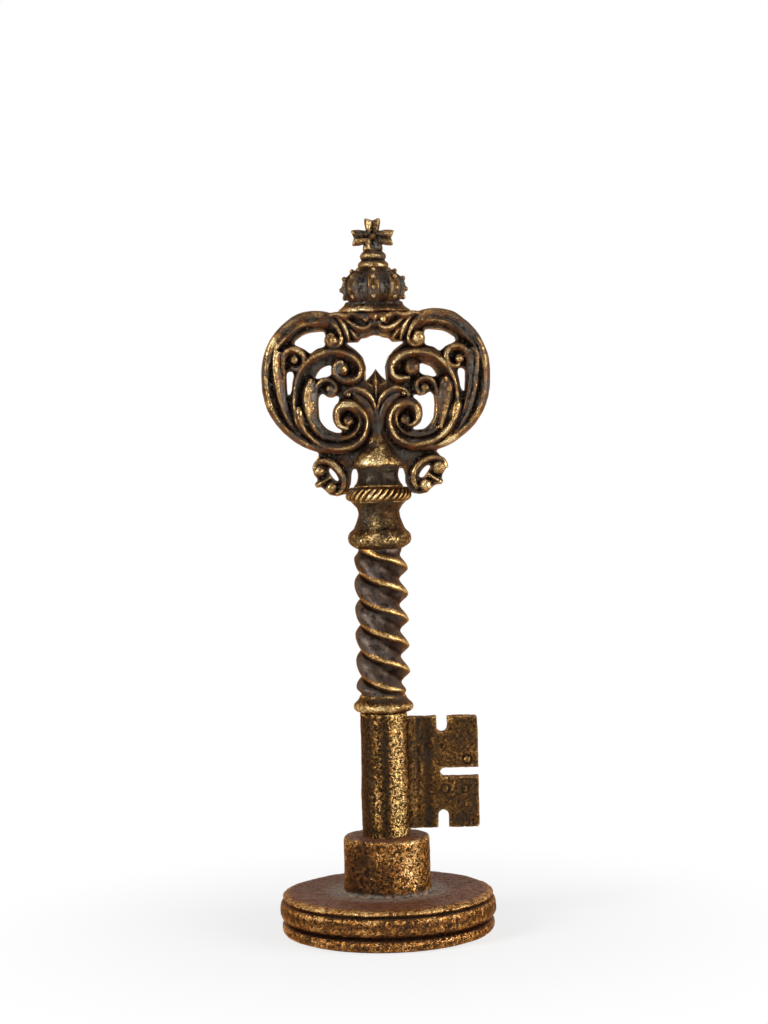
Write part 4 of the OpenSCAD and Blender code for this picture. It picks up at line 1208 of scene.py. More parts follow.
@dataclass
class BowHalf(Casting):
    """One pierced scroll casting. It is drawn as the left half; the right one is its mirror image.

    The two were cast from one pattern, but the beads, the crests and the ears were cut by hand
    and differ.
    """

    mirrored: bool = False

    def strokes(self) -> dict[str, Stroke]:
        """Draws the scrolls, leaves and curls of the left half.

        Returns:
            The strokes by name.
        """
        return {
            "rim": Stroke((
                (-18.6, 57.6, 1.4, 5.6, 1), (-18.1, 60.6, 1.8, 6.2, 1), (-18.9, 64.2, 2.5, 6.6, 1),
                (-20.8, 67.8, 3.3, 6.8, 0.9), (-23.6, 70.5, 4.3, 6.8, 0.6), (-28, 71.3, 5.2, 6.8, 0.2),
                (-34, 71, 5.7, 6.8), (-40, 69.3, 5.7, 6.8), (-46, 65, 5.5, 6.8), (-51.5, 59.5, 4.8, 6.8),
                (-55.2, 53.5, 4.1, 6.8, 0.4), (-57.4, 47, 3.4, 6.6, 0.9), (-57.9, 40, 3.2, 6.5, 1),
                (-57.2, 32.5, 3.2, 6.5, 1), (-54.9, 24.9, 3.2, 6.5, 1), (-51, 17.9, 3.1, 6.4, 1),
                (-45.4, 12.1, 3.0, 6.3, 1), (-38.4, 7.0, 2.9, 6.2, 1), (-31, 3.9, 2.6, 6, 1),
                (-24, 2.8, 2, 5, 1)), Section.RIM, -1, Section.FLANK),
            "volute": Stroke((
                (-17.9, 62.4, 1.6, 6.4), (-18.9, 58.9, 2.1, 6.9), (-21.6, 57.5, 2.2, 7.2),
                (-24.1, 58.9, 2.2, 7.4), (-24.8, 61.5, 2.0, 7.5), (-23.4, 63.4, 1.6, 7.5),
                (-21.6, 63.2, 1.1, 7.4)), Section.ROLL),
            "outer_leaf": Stroke((
                (-38, 7.5, 1.5, 4.6), (-43.8, 14.5, 2.0, 5.4), (-47.6, 21, 2.4, 6), (-49.8, 28, 2.8, 6.3),
                (-51.1, 34, 3.1, 6.5), (-52, 41, 3.2, 6.6), (-52.6, 47, 3.1, 6.7), (-52.4, 52, 2.9, 7.1),
                (-51.4, 55.4, 2.2, 7.0)), Section.BACK),
            "outer_curl": Stroke((
                (-41, 10, 1.0, 3.8), (-45.2, 17, 1.2, 4), (-47.5, 25, 1.2, 4.2), (-48.6, 35, 1.3, 4.4),
                (-49, 44, 1.5, 4.8), (-48.8, 50.5, 2, 5.6), (-47.2, 54.7, 2.3, 6.4), (-43.8, 56.1, 2.3, 6.8),
                (-40.4, 55, 2.2, 7), (-38.2, 52.3, 2.2, 7.1), (-38, 49.2, 2.1, 7), (-39.6, 46.8, 1.9, 6.9),
                (-42.2, 45.7, 1.7, 6.7), (-44.8, 46.7, 1.2, 6.4)), Section.ROLL),
            "scroll": Stroke((
                (-33, 9, 1.8, 5), (-38.4, 12.6, 2.3, 5.6), (-41.6, 18.5, 2.8, 6), (-42.3, 26, 3, 6.4),
                (-41.8, 33.5, 3.3, 6.8), (-39.7, 41, 4.1, 7.2), (-35.2, 47.2, 4.7, 7.6),
                (-29.6, 50.9, 4.9, 8), (-23.5, 52.4, 4.6, 8.2), (-17.5, 51.9, 4.5, 8.4),
                (-12.4, 49.4, 4.4, 8.6), (-9.9, 45.6, 4.0, 8.7), (-10, 42.2, 3.4, 8.6, 0.2),
                (-12.2, 40.1, 2.8, 8.4, 0.6), (-15.6, 39.4, 2.4, 8.2, 1), (-18.9, 40.4, 2.1, 8.2, 1),
                (-21.3, 43, 2.1, 8.6, 1), (-21.5, 46, 2.0, 8.9, 1), (-19.6, 48.4, 1.7, 9, 1),
                (-17.1, 48.4, 1.2, 8.8, 1)),
                Section.CHANNEL),
            "low_scroll": Stroke((
                (-41.3, 25.6, 1.6, 6, 1), (-41, 23.4, 2.6, 6.9, 1), (-40.2, 20, 3.1, 7.2, 0.9),
                (-38.6, 16.8, 3.5, 7.3, 0.6), (-36.4, 13.8, 3.9, 7.3, 0.2), (-33.3, 10.9, 4.2, 7.3),
                (-29.2, 7.9, 4.8, 7.4), (-24, 6.3, 5.4, 7.8), (-18.5, 6, 5.6, 8.2), (-13.4, 7.3, 5.3, 8.6),
                (-9.8, 10, 4.8, 9), (-7.7, 14, 4.2, 9.2, 0.1), (-7.1, 18.2, 3.8, 9.2, 0.3),
                (-8.8, 22.2, 3.5, 9.2, 0.6), (-12, 25.1, 3.4, 9.2, 0.9),
                (-16.2, 25.9, 3.3, 9, 1), (-19.6, 23.7, 3, 8.7, 1), (-20.9, 19.9, 2.6, 8.3, 1),
                (-20.1, 16.4, 2.2, 7.8, 1), (-17.8, 14.4, 1.8, 7.2, 1), (-15, 13.8, 1.2, 6.6, 1)),
                Section.BASIN, -1),
            "inner_leaf": Stroke((
                (-28, 9.5, 1.6, 5), (-32, 13.6, 2.6, 6.0), (-34.6, 19, 3.3, 6.6), (-35.6, 24, 3.8, 6.9),
                (-35.8, 29, 4.0, 7.1), (-35.4, 33.6, 3.9, 7.3), (-34.6, 37.4, 3.1, 7.4),
                (-33.6, 40.2, 1.9, 7.0)), Section.BACK),
            "inner_curl": Stroke((
                (-24, 8.5, 1.2, 3.8), (-29, 12.6, 1.4, 4), (-31.6, 18.5, 1.4, 4.2), (-32.2, 25, 1.4, 4.4),
                (-31.9, 31.5, 1.4, 4.8), (-31.2, 36, 1.7, 5.8), (-29.2, 38.7, 1.9, 6.5),
                (-26.4, 39.5, 1.7, 6.7), (-23.7, 38.8, 1.7, 6.8), (-21.9, 36.8, 1.6, 6.8),
                (-21.7, 34.2, 1.6, 6.8), (-23.3, 32, 1.6, 6.6), (-26, 31.9, 1.2, 6.2)), Section.ROLL),
            "brow": Stroke((
                (-18.6, 73, 1.8, 7.2), (-14.4, 69, 3.0, 8), (-10.6, 66.2, 3.5, 8.6), (-6.6, 65.0, 3.6, 8.8),
                (-3.3, 65.8, 3.1, 8.7), (-1.5, 68.4, 2.1, 8.4), (-2.6, 71.2, 1.4, 8)), Section.RIDGE),
            "brow_bar": Stroke((
                (-25, 73.4, 1.3, 6.4), (-20.5, 74, 1.8, 8), (-16, 73.0, 2.4, 9.4), (-11.5, 73.8, 2.0, 10.4),
                (-7, 72.8, 2.8, 11), (-3, 73.2, 2.4, 11.2), (1, 72.2, 3.2, 11.3)), Section.ROLL),
            "brow_field": Stroke((
                (-17, 71.4, 1.6, 6.4), (-11.5, 70.6, 2.8, 7.2), (-6, 69.8, 3.4, 7.6), (1, 69.4, 3.4, 7.6)),
                Section.ROLL),
            "brow_leaf": Stroke((
                (-20.2, 73, 2.2, 7.2), (-17.6, 70.4, 3.2, 8), (-15.8, 67.6, 3.7, 8.4),
                (-14.7, 64.6, 3.4, 7.9), (-14.0, 62, 2.2, 6.6), (-13.8, 60.2, 1.0, 5.4)), Section.LEAF),
            "brow_lobe": Stroke((
                (-13.4, 67, 1.6, 6.4), (-11.6, 64.2, 2.7, 7.1), (-9.9, 61.9, 2.2, 6.6),
                (-8.6, 60.6, 1.0, 5.4)), Section.LEAF),
            "ear": Stroke((
                (-33.5, -8.4, 1.5, 4.4), (-33.1, -5.7, 1.7, 4.8), (-30.7, -3.9, 2, 5),
                (-26.6, -3.8, 2.3, 5.2), (-22.4, -6.7, 2.5, 5.2), (-19.3, -11, 2.5, 5.2),
                (-18.3, -15.4, 2.5, 5), (-19.9, -19.2, 2.2, 4.8), (-23, -21, 1.7, 4.6)), Section.ROLL),
            "bud": Stroke((
                (-25.6, -12.2, 1.5, 4), (-28.4, -13.9, 2.3, 5), (-31.2, -15.4, 2.1, 4.8),
                (-33.6, -16.6, 1, 3.2)), Section.LEAF)}

    def beads(self) -> list[tuple[float, float, float, float]]:
        """Places the beads in the curls.

        Returns:
            For each its x, height over the bell, radius and how far it stands out, in mm.
        """
        both = [(-22.3, 60.5, 2.7, 8.3), (-15.2, 17.8, 2.5, 7.9), (-14.6, 31.6, 1.2, 7.2)]
        if self.mirrored:
            return both + [(-23.3, 61.5, 3.3, 8.6), (-19.5, 45.5, 4.2, 8.8), (-44.6, 49.4, 2.4, 7.8),
                           (-26, 34.4, 2.1, 7.4), (-4.6, 71.2, 1.6, 11.2), (-32.4, -8.2, 3.7, 7.0),
                           (-25.3, -17.5, 3.4, 6.6), (-17.2, 31, 1.1, 7.0)]
        return both + [(-18.3, 45.2, 3.8, 8.8), (-43, 50.6, 2.1, 7.6), (-24.6, 34.8, 2.0, 7.2),
                       (-4.8, 71.2, 1.6, 11.2), (-31, -8.4, 3.0, 6.6), (-25, -17.6, 3.0, 6.4)]

    def outlines(self) -> list[np.ndarray]:
        """Draws the pierced body behind the strokes.

        Returns:
            The body's outline, then those of its openings, as rows of [x, z].
        """
        head = [[1, 73.5], [-27, 73.5], [-36, 74], [-44, 70.6], [-51, 64.4], [-56, 57], [-58.8, 48],
                [-59.4, 39], [-58, 28.5], [-54.4, 20], [-48.4, 12.6], [-41, 7], [-33, 3], [-31.4, 0.4]]
        tail = [[-22, -22.2], [-16.8, -21.2], [-14.6, -16], [-14.2, -11],
                [-13.4, -8.2], [-1, -8.2], [-1, 36], [-5.4, 38.6], [-5.3, 41], [-5, 46], [-6.6, 51.2],
                [-10, 55], [-14, 58], [-15.8, 59.4], [-13.4, 59.4], [-9, 59.3], [-7.2, 61.4], [-4, 62.4],
                [1, 63.3]]
        side = [[-32.4, -2.6], [-34.2, -5], [-34.8, -7.6], [-34.2, -10.4], [-32.6, -12.6], [-32, -16.4],
                [-29, -18.4], [-26, -21.6]]
        ear = [[-26.2, -8.5], [-25, -7.1], [-23.3, -8.4], [-21.2, -11], [-20.4, -13.4], [-21.2, -14.3],
               [-23, -13.6], [-25, -11.4]]
        if self.mirrored:
            side = [[-33.4, -1.8], [-36, -4.4], [-36.6, -8], [-34.4, -12], [-33.6, -16.6], [-29.6, -18],
                    [-26, -21.4]]
            ear = [[-28, -8], [-27.4, -6.8], [-25.4, -7.4], [-23.2, -9.6], [-22, -12], [-22.4, -13.2],
                   [-24.2, -13], [-26, -10.8]]
        top = [[-42.8, 60], [-41.5, 62], [-38, 64], [-34, 65.2], [-28, 65.6], [-26.4, 64], [-26.6, 58],
               [-31, 56.3], [-33.5, 54.4], [-35, 54.2], [-37.5, 56.3], [-42.3, 58.6]]
        outer = [[-47.8, 43], [-46, 44.7], [-43.8, 43.8], [-44.2, 39], [-45.3, 33.5], [-47, 32], [-48.2, 34],
                 [-48.3, 39]]
        upper = [[-32.4, 41], [-30, 45], [-27, 47], [-25, 47.7], [-23.4, 46.8], [-23.4, 44.5], [-24, 42.3],
                 [-27, 41], [-31, 40.4]]
        low = [[-29, 32.3], [-25.5, 30.7], [-20.2, 31], [-20.2, 28], [-22, 26], [-23.4, 21.5], [-21.4, 15.2],
               [-18.8, 12.6], [-20, 11.3], [-23, 11.8], [-26.5, 13.6], [-29.4, 17], [-31.2, 21], [-31.5, 28]]
        made = [np.asarray(head + side + tail, float)]
        made += [curve_through(gap, 4, closed=True) for gap in (top, outer, upper, low, ear)]
        return [loop + np.array([0, Z_BOW]) for loop in made]

    def cut_by_hand(self, strokes: dict[str, Stroke]) -> dict[str, Stroke]:
        """Changes the forms that were cut otherwise on the right half, still drawn on the left.

        Args:
            strokes: The left half's strokes.

        Returns:
            The right half's strokes.
        """
        scroll = strokes["scroll"]
        strokes["scroll"] = replace(scroll, rows=scroll.rows[:14] + (
            (-15.4, 39.6, 2.0, 7.6, 1), (-18, 39.8, 1.4, 7, 1)), pull=0.4)
        rows = []
        for x, h, *rest in strokes["low_scroll"].rows:
            far = min(max((-x - 31) / 8, 0), 1)
            rows.append((x - 1.2 - 0.6 * far, h + 0.8 + 1.4 * far, rest[0] * (1 + 0.28 * far), *rest[1:]))
        strokes["low_scroll"] = replace(strokes["low_scroll"], rows=tuple(rows), pull=0.3)
        strokes["outer_leaf"] = replace(strokes["outer_leaf"], section=Section.SCOOP)
        strokes["inner_leaf"] = Stroke((
            (-33.6, 13, 1.6, 5), (-35, 19, 2.8, 6), (-36, 25, 3.8, 6.8), (-37, 30.6, 4.5, 7.4),
            (-37.4, 34.8, 4.4, 7.8), (-37, 37.8, 3.6, 7.7), (-36.4, 40, 2.0, 7)), Section.BACK)
        strokes["ear"] = Stroke((
            (-36.4, -8.6, 1.2, 4.4), (-35.6, -5.6, 1.5, 4.8), (-33.2, -3.7, 1.8, 5), (-29.2, -3.1, 2, 5.2),
            (-24.6, -4.5, 2.2, 5.4), (-21, -7.6, 2.3, 5.4), (-19.1, -11.6, 2.4, 5.2), (-19.2, -15.6, 2.4, 5),
            (-21, -19, 2.2, 4.8)), Section.ROLL)
        strokes["bud"] = Stroke((
            (-26.8, -11.4, 1.5, 4), (-29.4, -13.2, 2.2, 5.2), (-32.4, -15.2, 2.0, 5),
            (-34.2, -16.4, 1.2, 3.6)), Section.LEAF)
        return strokes

    def shape(self) -> bpy.types.Object:
        """Fuses the pierced body with its strokes and beads.

        Returns:
            The plain object.
        """
        body, *gaps = self.outlines()
        strokes = self.strokes()
        if self.mirrored:
            strokes = self.cut_by_hand(strokes)
        skins = [slab(body, half=3.4, holes=gaps)] + [s.skin() for s in strokes.values()]
        for x, h, r, out in self.beads():
            skins += [ball((x, face * (out - r), Z_BOW + h), r) for face in (-1, 1)]
            skins.append(ball((x, 0, Z_BOW + h), r * 0.9, flat=(out - 0.6 * r) / r))
        return fused(self.label, mirror_image(skins) if self.mirrored else skins, voxel=0.48, rounds=3)


@dataclass
class CalyxStem(Casting):
    """The stem between the scrolls, with a leaf to each side, a bead on each leaf and a spear on top."""

    def shape(self) -> bpy.types.Object:
        """Fuses the stem, the spear, the leaves and their beads.

        Returns:
            The plain object.
        """
        leaf = Stroke((
            (1.0, 23.4, 1.6, 6), (2.8, 28.4, 2.5, 7.0), (5.6, 31.6, 3.0, 7.6), (8.8, 33.4, 3.0, 7.7),
            (12, 33.8, 2.6, 7.4), (15, 33, 1.9, 6.9), (17, 31.6, 1.0, 6)), Section.BACK)
        back = Stroke((
            (1.6, 11, 1.8, 4.2), (2.6, 17, 2.6, 5), (4, 22.4, 3.4, 5.6), (6.4, 27, 3.8, 6), (9.4, 30, 3.2, 6),
            (12.6, 31.8, 1.8, 5.6)), Section.ROLL)
        spear = Stroke((
            (0, 27, 1.6, 5), (0, 33, 2.0, 5.8), (0, 37.6, 2.7, 6), (0, 41.2, 2.0, 5.2), (0, 44.5, 0.4, 1.8)),
            Section.LEAF)
        stem = Stroke((
            (0, 3.2, 6.7, 6.7), (0, 6, 5.9, 6.2), (0, 8.8, 4.6, 5.5), (0, 12, 3.4, 5.1), (0, 17, 2.9, 5.1),
            (0, 23, 2.6, 5.4), (0, 28, 1.6, 5.6)), Section.ROLL)
        side = [[5.6, 4], [4.4, 9], [3.6, 12.6], [3.2, 17], [3, 22], [4.6, 27.6], [9, 29.6], [15, 29],
                [17.6, 31], [17.4, 34], [14, 36.6], [9, 37.6], [5.2, 38.9], [2.8, 41.2], [0, 45.0]]
        outline = np.asarray([[-x, h] for x, h in side] + side[-2::-1], float) + np.array([0, Z_BOW])
        bead = ball((14.9, 0, Z_BOW + 31.4), 1.7, flat=7.2 / 1.7)
        right = [leaf.skin(), back.skin(), bead]
        skins = [slab(outline, half=2.6), spear.skin(), stem.skin()] + right + mirror_image(right)
        return fused(self.label, skins, voxel=0.35, rounds=2)


# Crown


@dataclass
class CrownBody(Casting):
    """The eight-lobed crown: swelling lobes, each with a raised strap and four pearls up its middle."""

    lobes: int = 8
    radius: float = 17.2
    height: float = 18.0
    # Up a lobe: share of the height and of the radius
    lobe_rows: Rows = field(default_factory=lambda: [
        [0, 0.74], [0.1, 0.86], [0.22, 0.95], [0.4, 1], [0.55, 0.985], [0.7, 0.9], [0.83, 0.76], [0.94, 0.6],
        [1, 0.5]])
    # Round a lobe: from 0 at its middle to 0.5 in the valley, and share of the radius
    strap_rows: Rows = field(default_factory=lambda: [
        [0, 1], [0.18, 0.995], [0.23, 0.985], [0.255, 0.925], [0.29, 0.895], [0.4, 0.875], [0.5, 0.865]])
    pearl_rows: tuple[tuple[float, float], ...] = ((0.14, 0.9), (0.38, 0.99), (0.7, 0.91), (0.92, 0.66))
    pearl: float = 1.4

    def beside(self, turn: np.ndarray) -> np.ndarray:
        """Gives how far each angle lies beside the middle of its lobe: 0.5 is the valley."""
        return np.abs(np.mod((turn + math.pi / 2) * self.lobes / (2 * math.pi) + 0.5, 1.0) - 0.5)

    def handled(self, points: np.ndarray) -> np.ndarray:
        """Gives the straps more gold than the valleys between them, at every lobe.

        Args:
            points: Points in mm.

        Returns:
            One number a point.
        """
        beside = self.beside(np.arctan2(points[:, 1], points[:, 0]))
        return super().handled(points) + 0.55 * smooth_step(0.27, 0.22, beside) - 0.25

    def shape(self) -> bpy.types.Object:
        """Fuses the lobed body with its pearls.

        Returns:
            The plain object.
        """
        p = curve_through(self.lobe_rows, 7)
        turn = full_turn(self.lobes * 36)
        swell = np.interp(self.beside(turn), *zip(*self.strap_rows))
        r = self.radius * p[:, 1:] * swell[None, :] - 0.1
        z = np.repeat(Z_CROWN + self.height * p[:, :1], len(turn), 1)
        skins = [rings_skin(round_rings(r, z))]
        for a in full_turn(self.lobes) - math.pi / 2:
            for share, out in self.pearl_rows:
                out *= self.radius
                centre = (out * math.cos(a), out * math.sin(a), Z_CROWN + self.height * share)
                skins.append(ball(centre, self.pearl, size=16))
        return fused(self.label, skins, voxel=0.3, rounds=2)


@dataclass
class Cross(Casting):
    """The cross: four flaring arms with notched ends, two ridges and a hollow along each, and a bead."""

    middle: float = 8.05  # height of its middle over the rings
    # Each arm: length, factor on its width, angle from +X towards +Z in degrees
    arms: tuple[tuple[float, float, float], ...] = (
        (11.2, 0.82, -5), (11.2, 0.84, 184), (9.6, 0.84, 90), (8.2, 1.05, 270))
    # Along an arm: share of the length, half width and half depth
    arm_rows: Rows = field(default_factory=lambda: [
        [0, 2.6, 3.1], [0.2, 3.5, 3.3], [0.4, 4.3, 3.6], [0.6, 4.8, 3.8], [0.84, 5.0, 3.8], [0.96, 4.8, 3.4],
        [1, 4.3, 2.7]])
    notch: float = 1.3    # depth of the notch in each arm's end

    def arm(self, length: float, spread: float, turn: float) -> Skin:
        """Makes one arm.

        Args:
            length: Length in mm.
            spread: Factor on its width.
            turn: Angle from +X towards +Z in degrees.

        Returns:
            The arm's skin.
        """
        p = curve_through(self.arm_rows, 5)
        side = np.concatenate([np.linspace(-1, 1, 15), np.linspace(1, -1, 15)])
        front = np.concatenate([-np.ones(15), np.ones(15)])
        tall = 0.72 + 0.28 * np.exp(-((np.abs(side) - 0.55) / 0.3) ** 2)
        tall *= np.where(np.abs(side) > 0.97, 0.45, 1.0)
        rings = np.stack([p[:, :1] * length - self.notch * p[:, :1] ** 6 * (1 - np.abs(side)),
                          front * tall * p[:, 2:], side * p[:, 1:2] * spread], 2)
        c, s = math.cos(math.radians(turn)), math.sin(math.radians(turn))
        return rings_skin(rings).moved(np.array([[c, 0, -s], [0, 1, 0], [s, 0, c]]))

    def shape(self) -> bpy.types.Object:
        """Fuses the arms with the bead and the foot.

        Returns:
            The plain object.
        """
        skins = [self.arm(*row) for row in self.arms]
        skins += [ball((0, face * 2.9, 0), 1.7, size=16) for face in (-1, 1)] + [ball((0, 0, -6.8), 3.6)]
        shift = (0, 0, Z_CROSS + self.middle)
        return fused(self.label, [s.moved(np.eye(3), shift) for s in skins], voxel=0.24, rounds=2)


# Stage


@dataclass(frozen=True)
class SoftBox:
    """One soft box, which looks at the middle of the key."""

    name: str
    azimuth: float   # degrees to the right of the camera, seen from the key
    distance: float  # from the key, in m
    height: float    # of its middle, in m
    width: float
    tall: float
    watts: float

    def hang(self) -> None:
        """Adds the lamp to the scene."""
        light = bpy.data.lights.new(self.name, "AREA")
        light.shape, light.size, light.size_y, light.energy = "RECTANGLE", self.width, self.tall, self.watts
        made = linked(self.name, light)
        a = math.radians(self.azimuth)
        made.location = (self.distance * math.sin(a), -self.distance * math.cos(a), self.height)
        made.rotation_mode = "QUATERNION"
        made.rotation_quaternion = (Vector((0, 0, 0.2)) - made.location).to_track_quat("-Z", "Y")


@dataclass
class Studio:
    """A pale floor, a white surround, two large soft boxes and the camera."""

    camera_x: float = 2.7          # camera's place in mm
    camera_back: float = 1120.0
    camera_height: float = 252.0
    pitch: float = 1.4             # degrees that it looks down
    roll: float = -1.35            # degrees that the key leans in the photograph
    lens: float = 73.7
    floor_half: float = 6000.0     # mm
    floor_colour: str = "#f4f4f4"
    shadow: float = 0.72           # share of white by the key, where the floor's own shading shows
    room: float = 0.25             # plain light of the dim room
    soft_boxes: tuple[SoftBox, ...] = (
        SoftBox("soft_box_right", azimuth=62, distance=1.0, height=0.24, width=0.8, tall=0.8, watts=14.0),
        SoftBox("soft_box_left", azimuth=-54, distance=1.05, height=0.5, width=0.36, tall=0.6, watts=9.5))

    def looked_at(self, node: Adder) -> bpy.types.NodeSocket:
        """Finds the rays that come from the camera, or that metal or glass sends on.

        Args:
            node: Adds nodes to the material or world.

        Returns:
            1 for such a ray, and otherwise 0.
        """
        made = node("LightPath", out="Is Camera Ray")
        for kind in ("Is Glossy Ray", "Is Transmission Ray"):
            made = node("Math MAXIMUM", (made, node("LightPath", out=kind)))
        return made

    def floor(self) -> None:
        """Lays the floor: pale, white to the camera, with the key's soft shadow on it."""
        square = np.array([[-1, -1, 0], [1, -1, 0], [1, 1, 0], [-1, 1, 0]]) * self.floor_half
        made = mesh_object("floor", Skin(square, [(0, 1, 2, 3)]))
        paint = bpy.data.materials.new("pale_floor")
        node = emptied(paint)
        away = node("VectorMath LENGTH", (node("TexCoord", out="Object"),), "Value")
        white = node("Math MULTIPLY", (
            self.looked_at(node), node("MapRange SMOOTHSTEP", (away, 0.06, 0.26, self.shadow, 1.0))))
        matt = node("BsdfDiffuse", {"Color": self.floor_colour})
        node("OutputMaterial", (node("MixShader", (white, matt, node("Emission", ("#ffffff", 1.0)))),))
        made.data.materials.append(paint)

    def surround(self) -> None:
        """Sets the world: plain grey light on the key, white behind it."""
        world = bpy.data.worlds.new("surround")
        bpy.context.scene.world = world
        node = emptied(world)
        # The white backdrop stands behind the key; metal that faces the camera shows the dim room.
        way = node("SeparateXYZ", (node("TexCoord", out="Generated"),), "Y")
        white = node("Math MAXIMUM", (
            node("LightPath", out="Is Camera Ray"), node("MapRange SMOOTHSTEP", (way, -0.15, 0.45))))
        shown = node("Math MULTIPLY", (self.looked_at(node), white))
        strength = node("Math MULTIPLY_ADD", (shown, 1.0 - self.room, self.room))
        node("OutputWorld", (node("Background", ("#ffffff", strength)),))

    def camera(self) -> None:
        """Sets up the camera at the photograph's angle."""
        lens = bpy.data.cameras.new("camera")
        lens.lens, lens.sensor_width, lens.sensor_fit = self.lens, 36.0, "AUTO"
        lens.clip_start, lens.clip_end = 0.05, 30.0
        made = linked("camera", lens)
        pitched = Matrix.Rotation(math.radians(90 - self.pitch), 4, "X")
        look = pitched @ Matrix.Rotation(math.radians(self.roll), 4, "Z")
        made.matrix_world = Matrix.Translation(
            (self.camera_x * MM, -self.camera_back * MM, self.camera_height * MM)) @ look
        bpy.context.scene.camera = made

    def build(self) -> None:
        """Sets up the whole studio."""
        self.floor()
        self.surround()
        for box in self.soft_boxes:
            box.hang()
        self.camera()


# Assembly


# Bought hardware inside the key
HARDWARE = ("tie_rod", "base_nut", "base_washer", "foot_screws", "bow_pin", "crown_pins", "finial_stud")


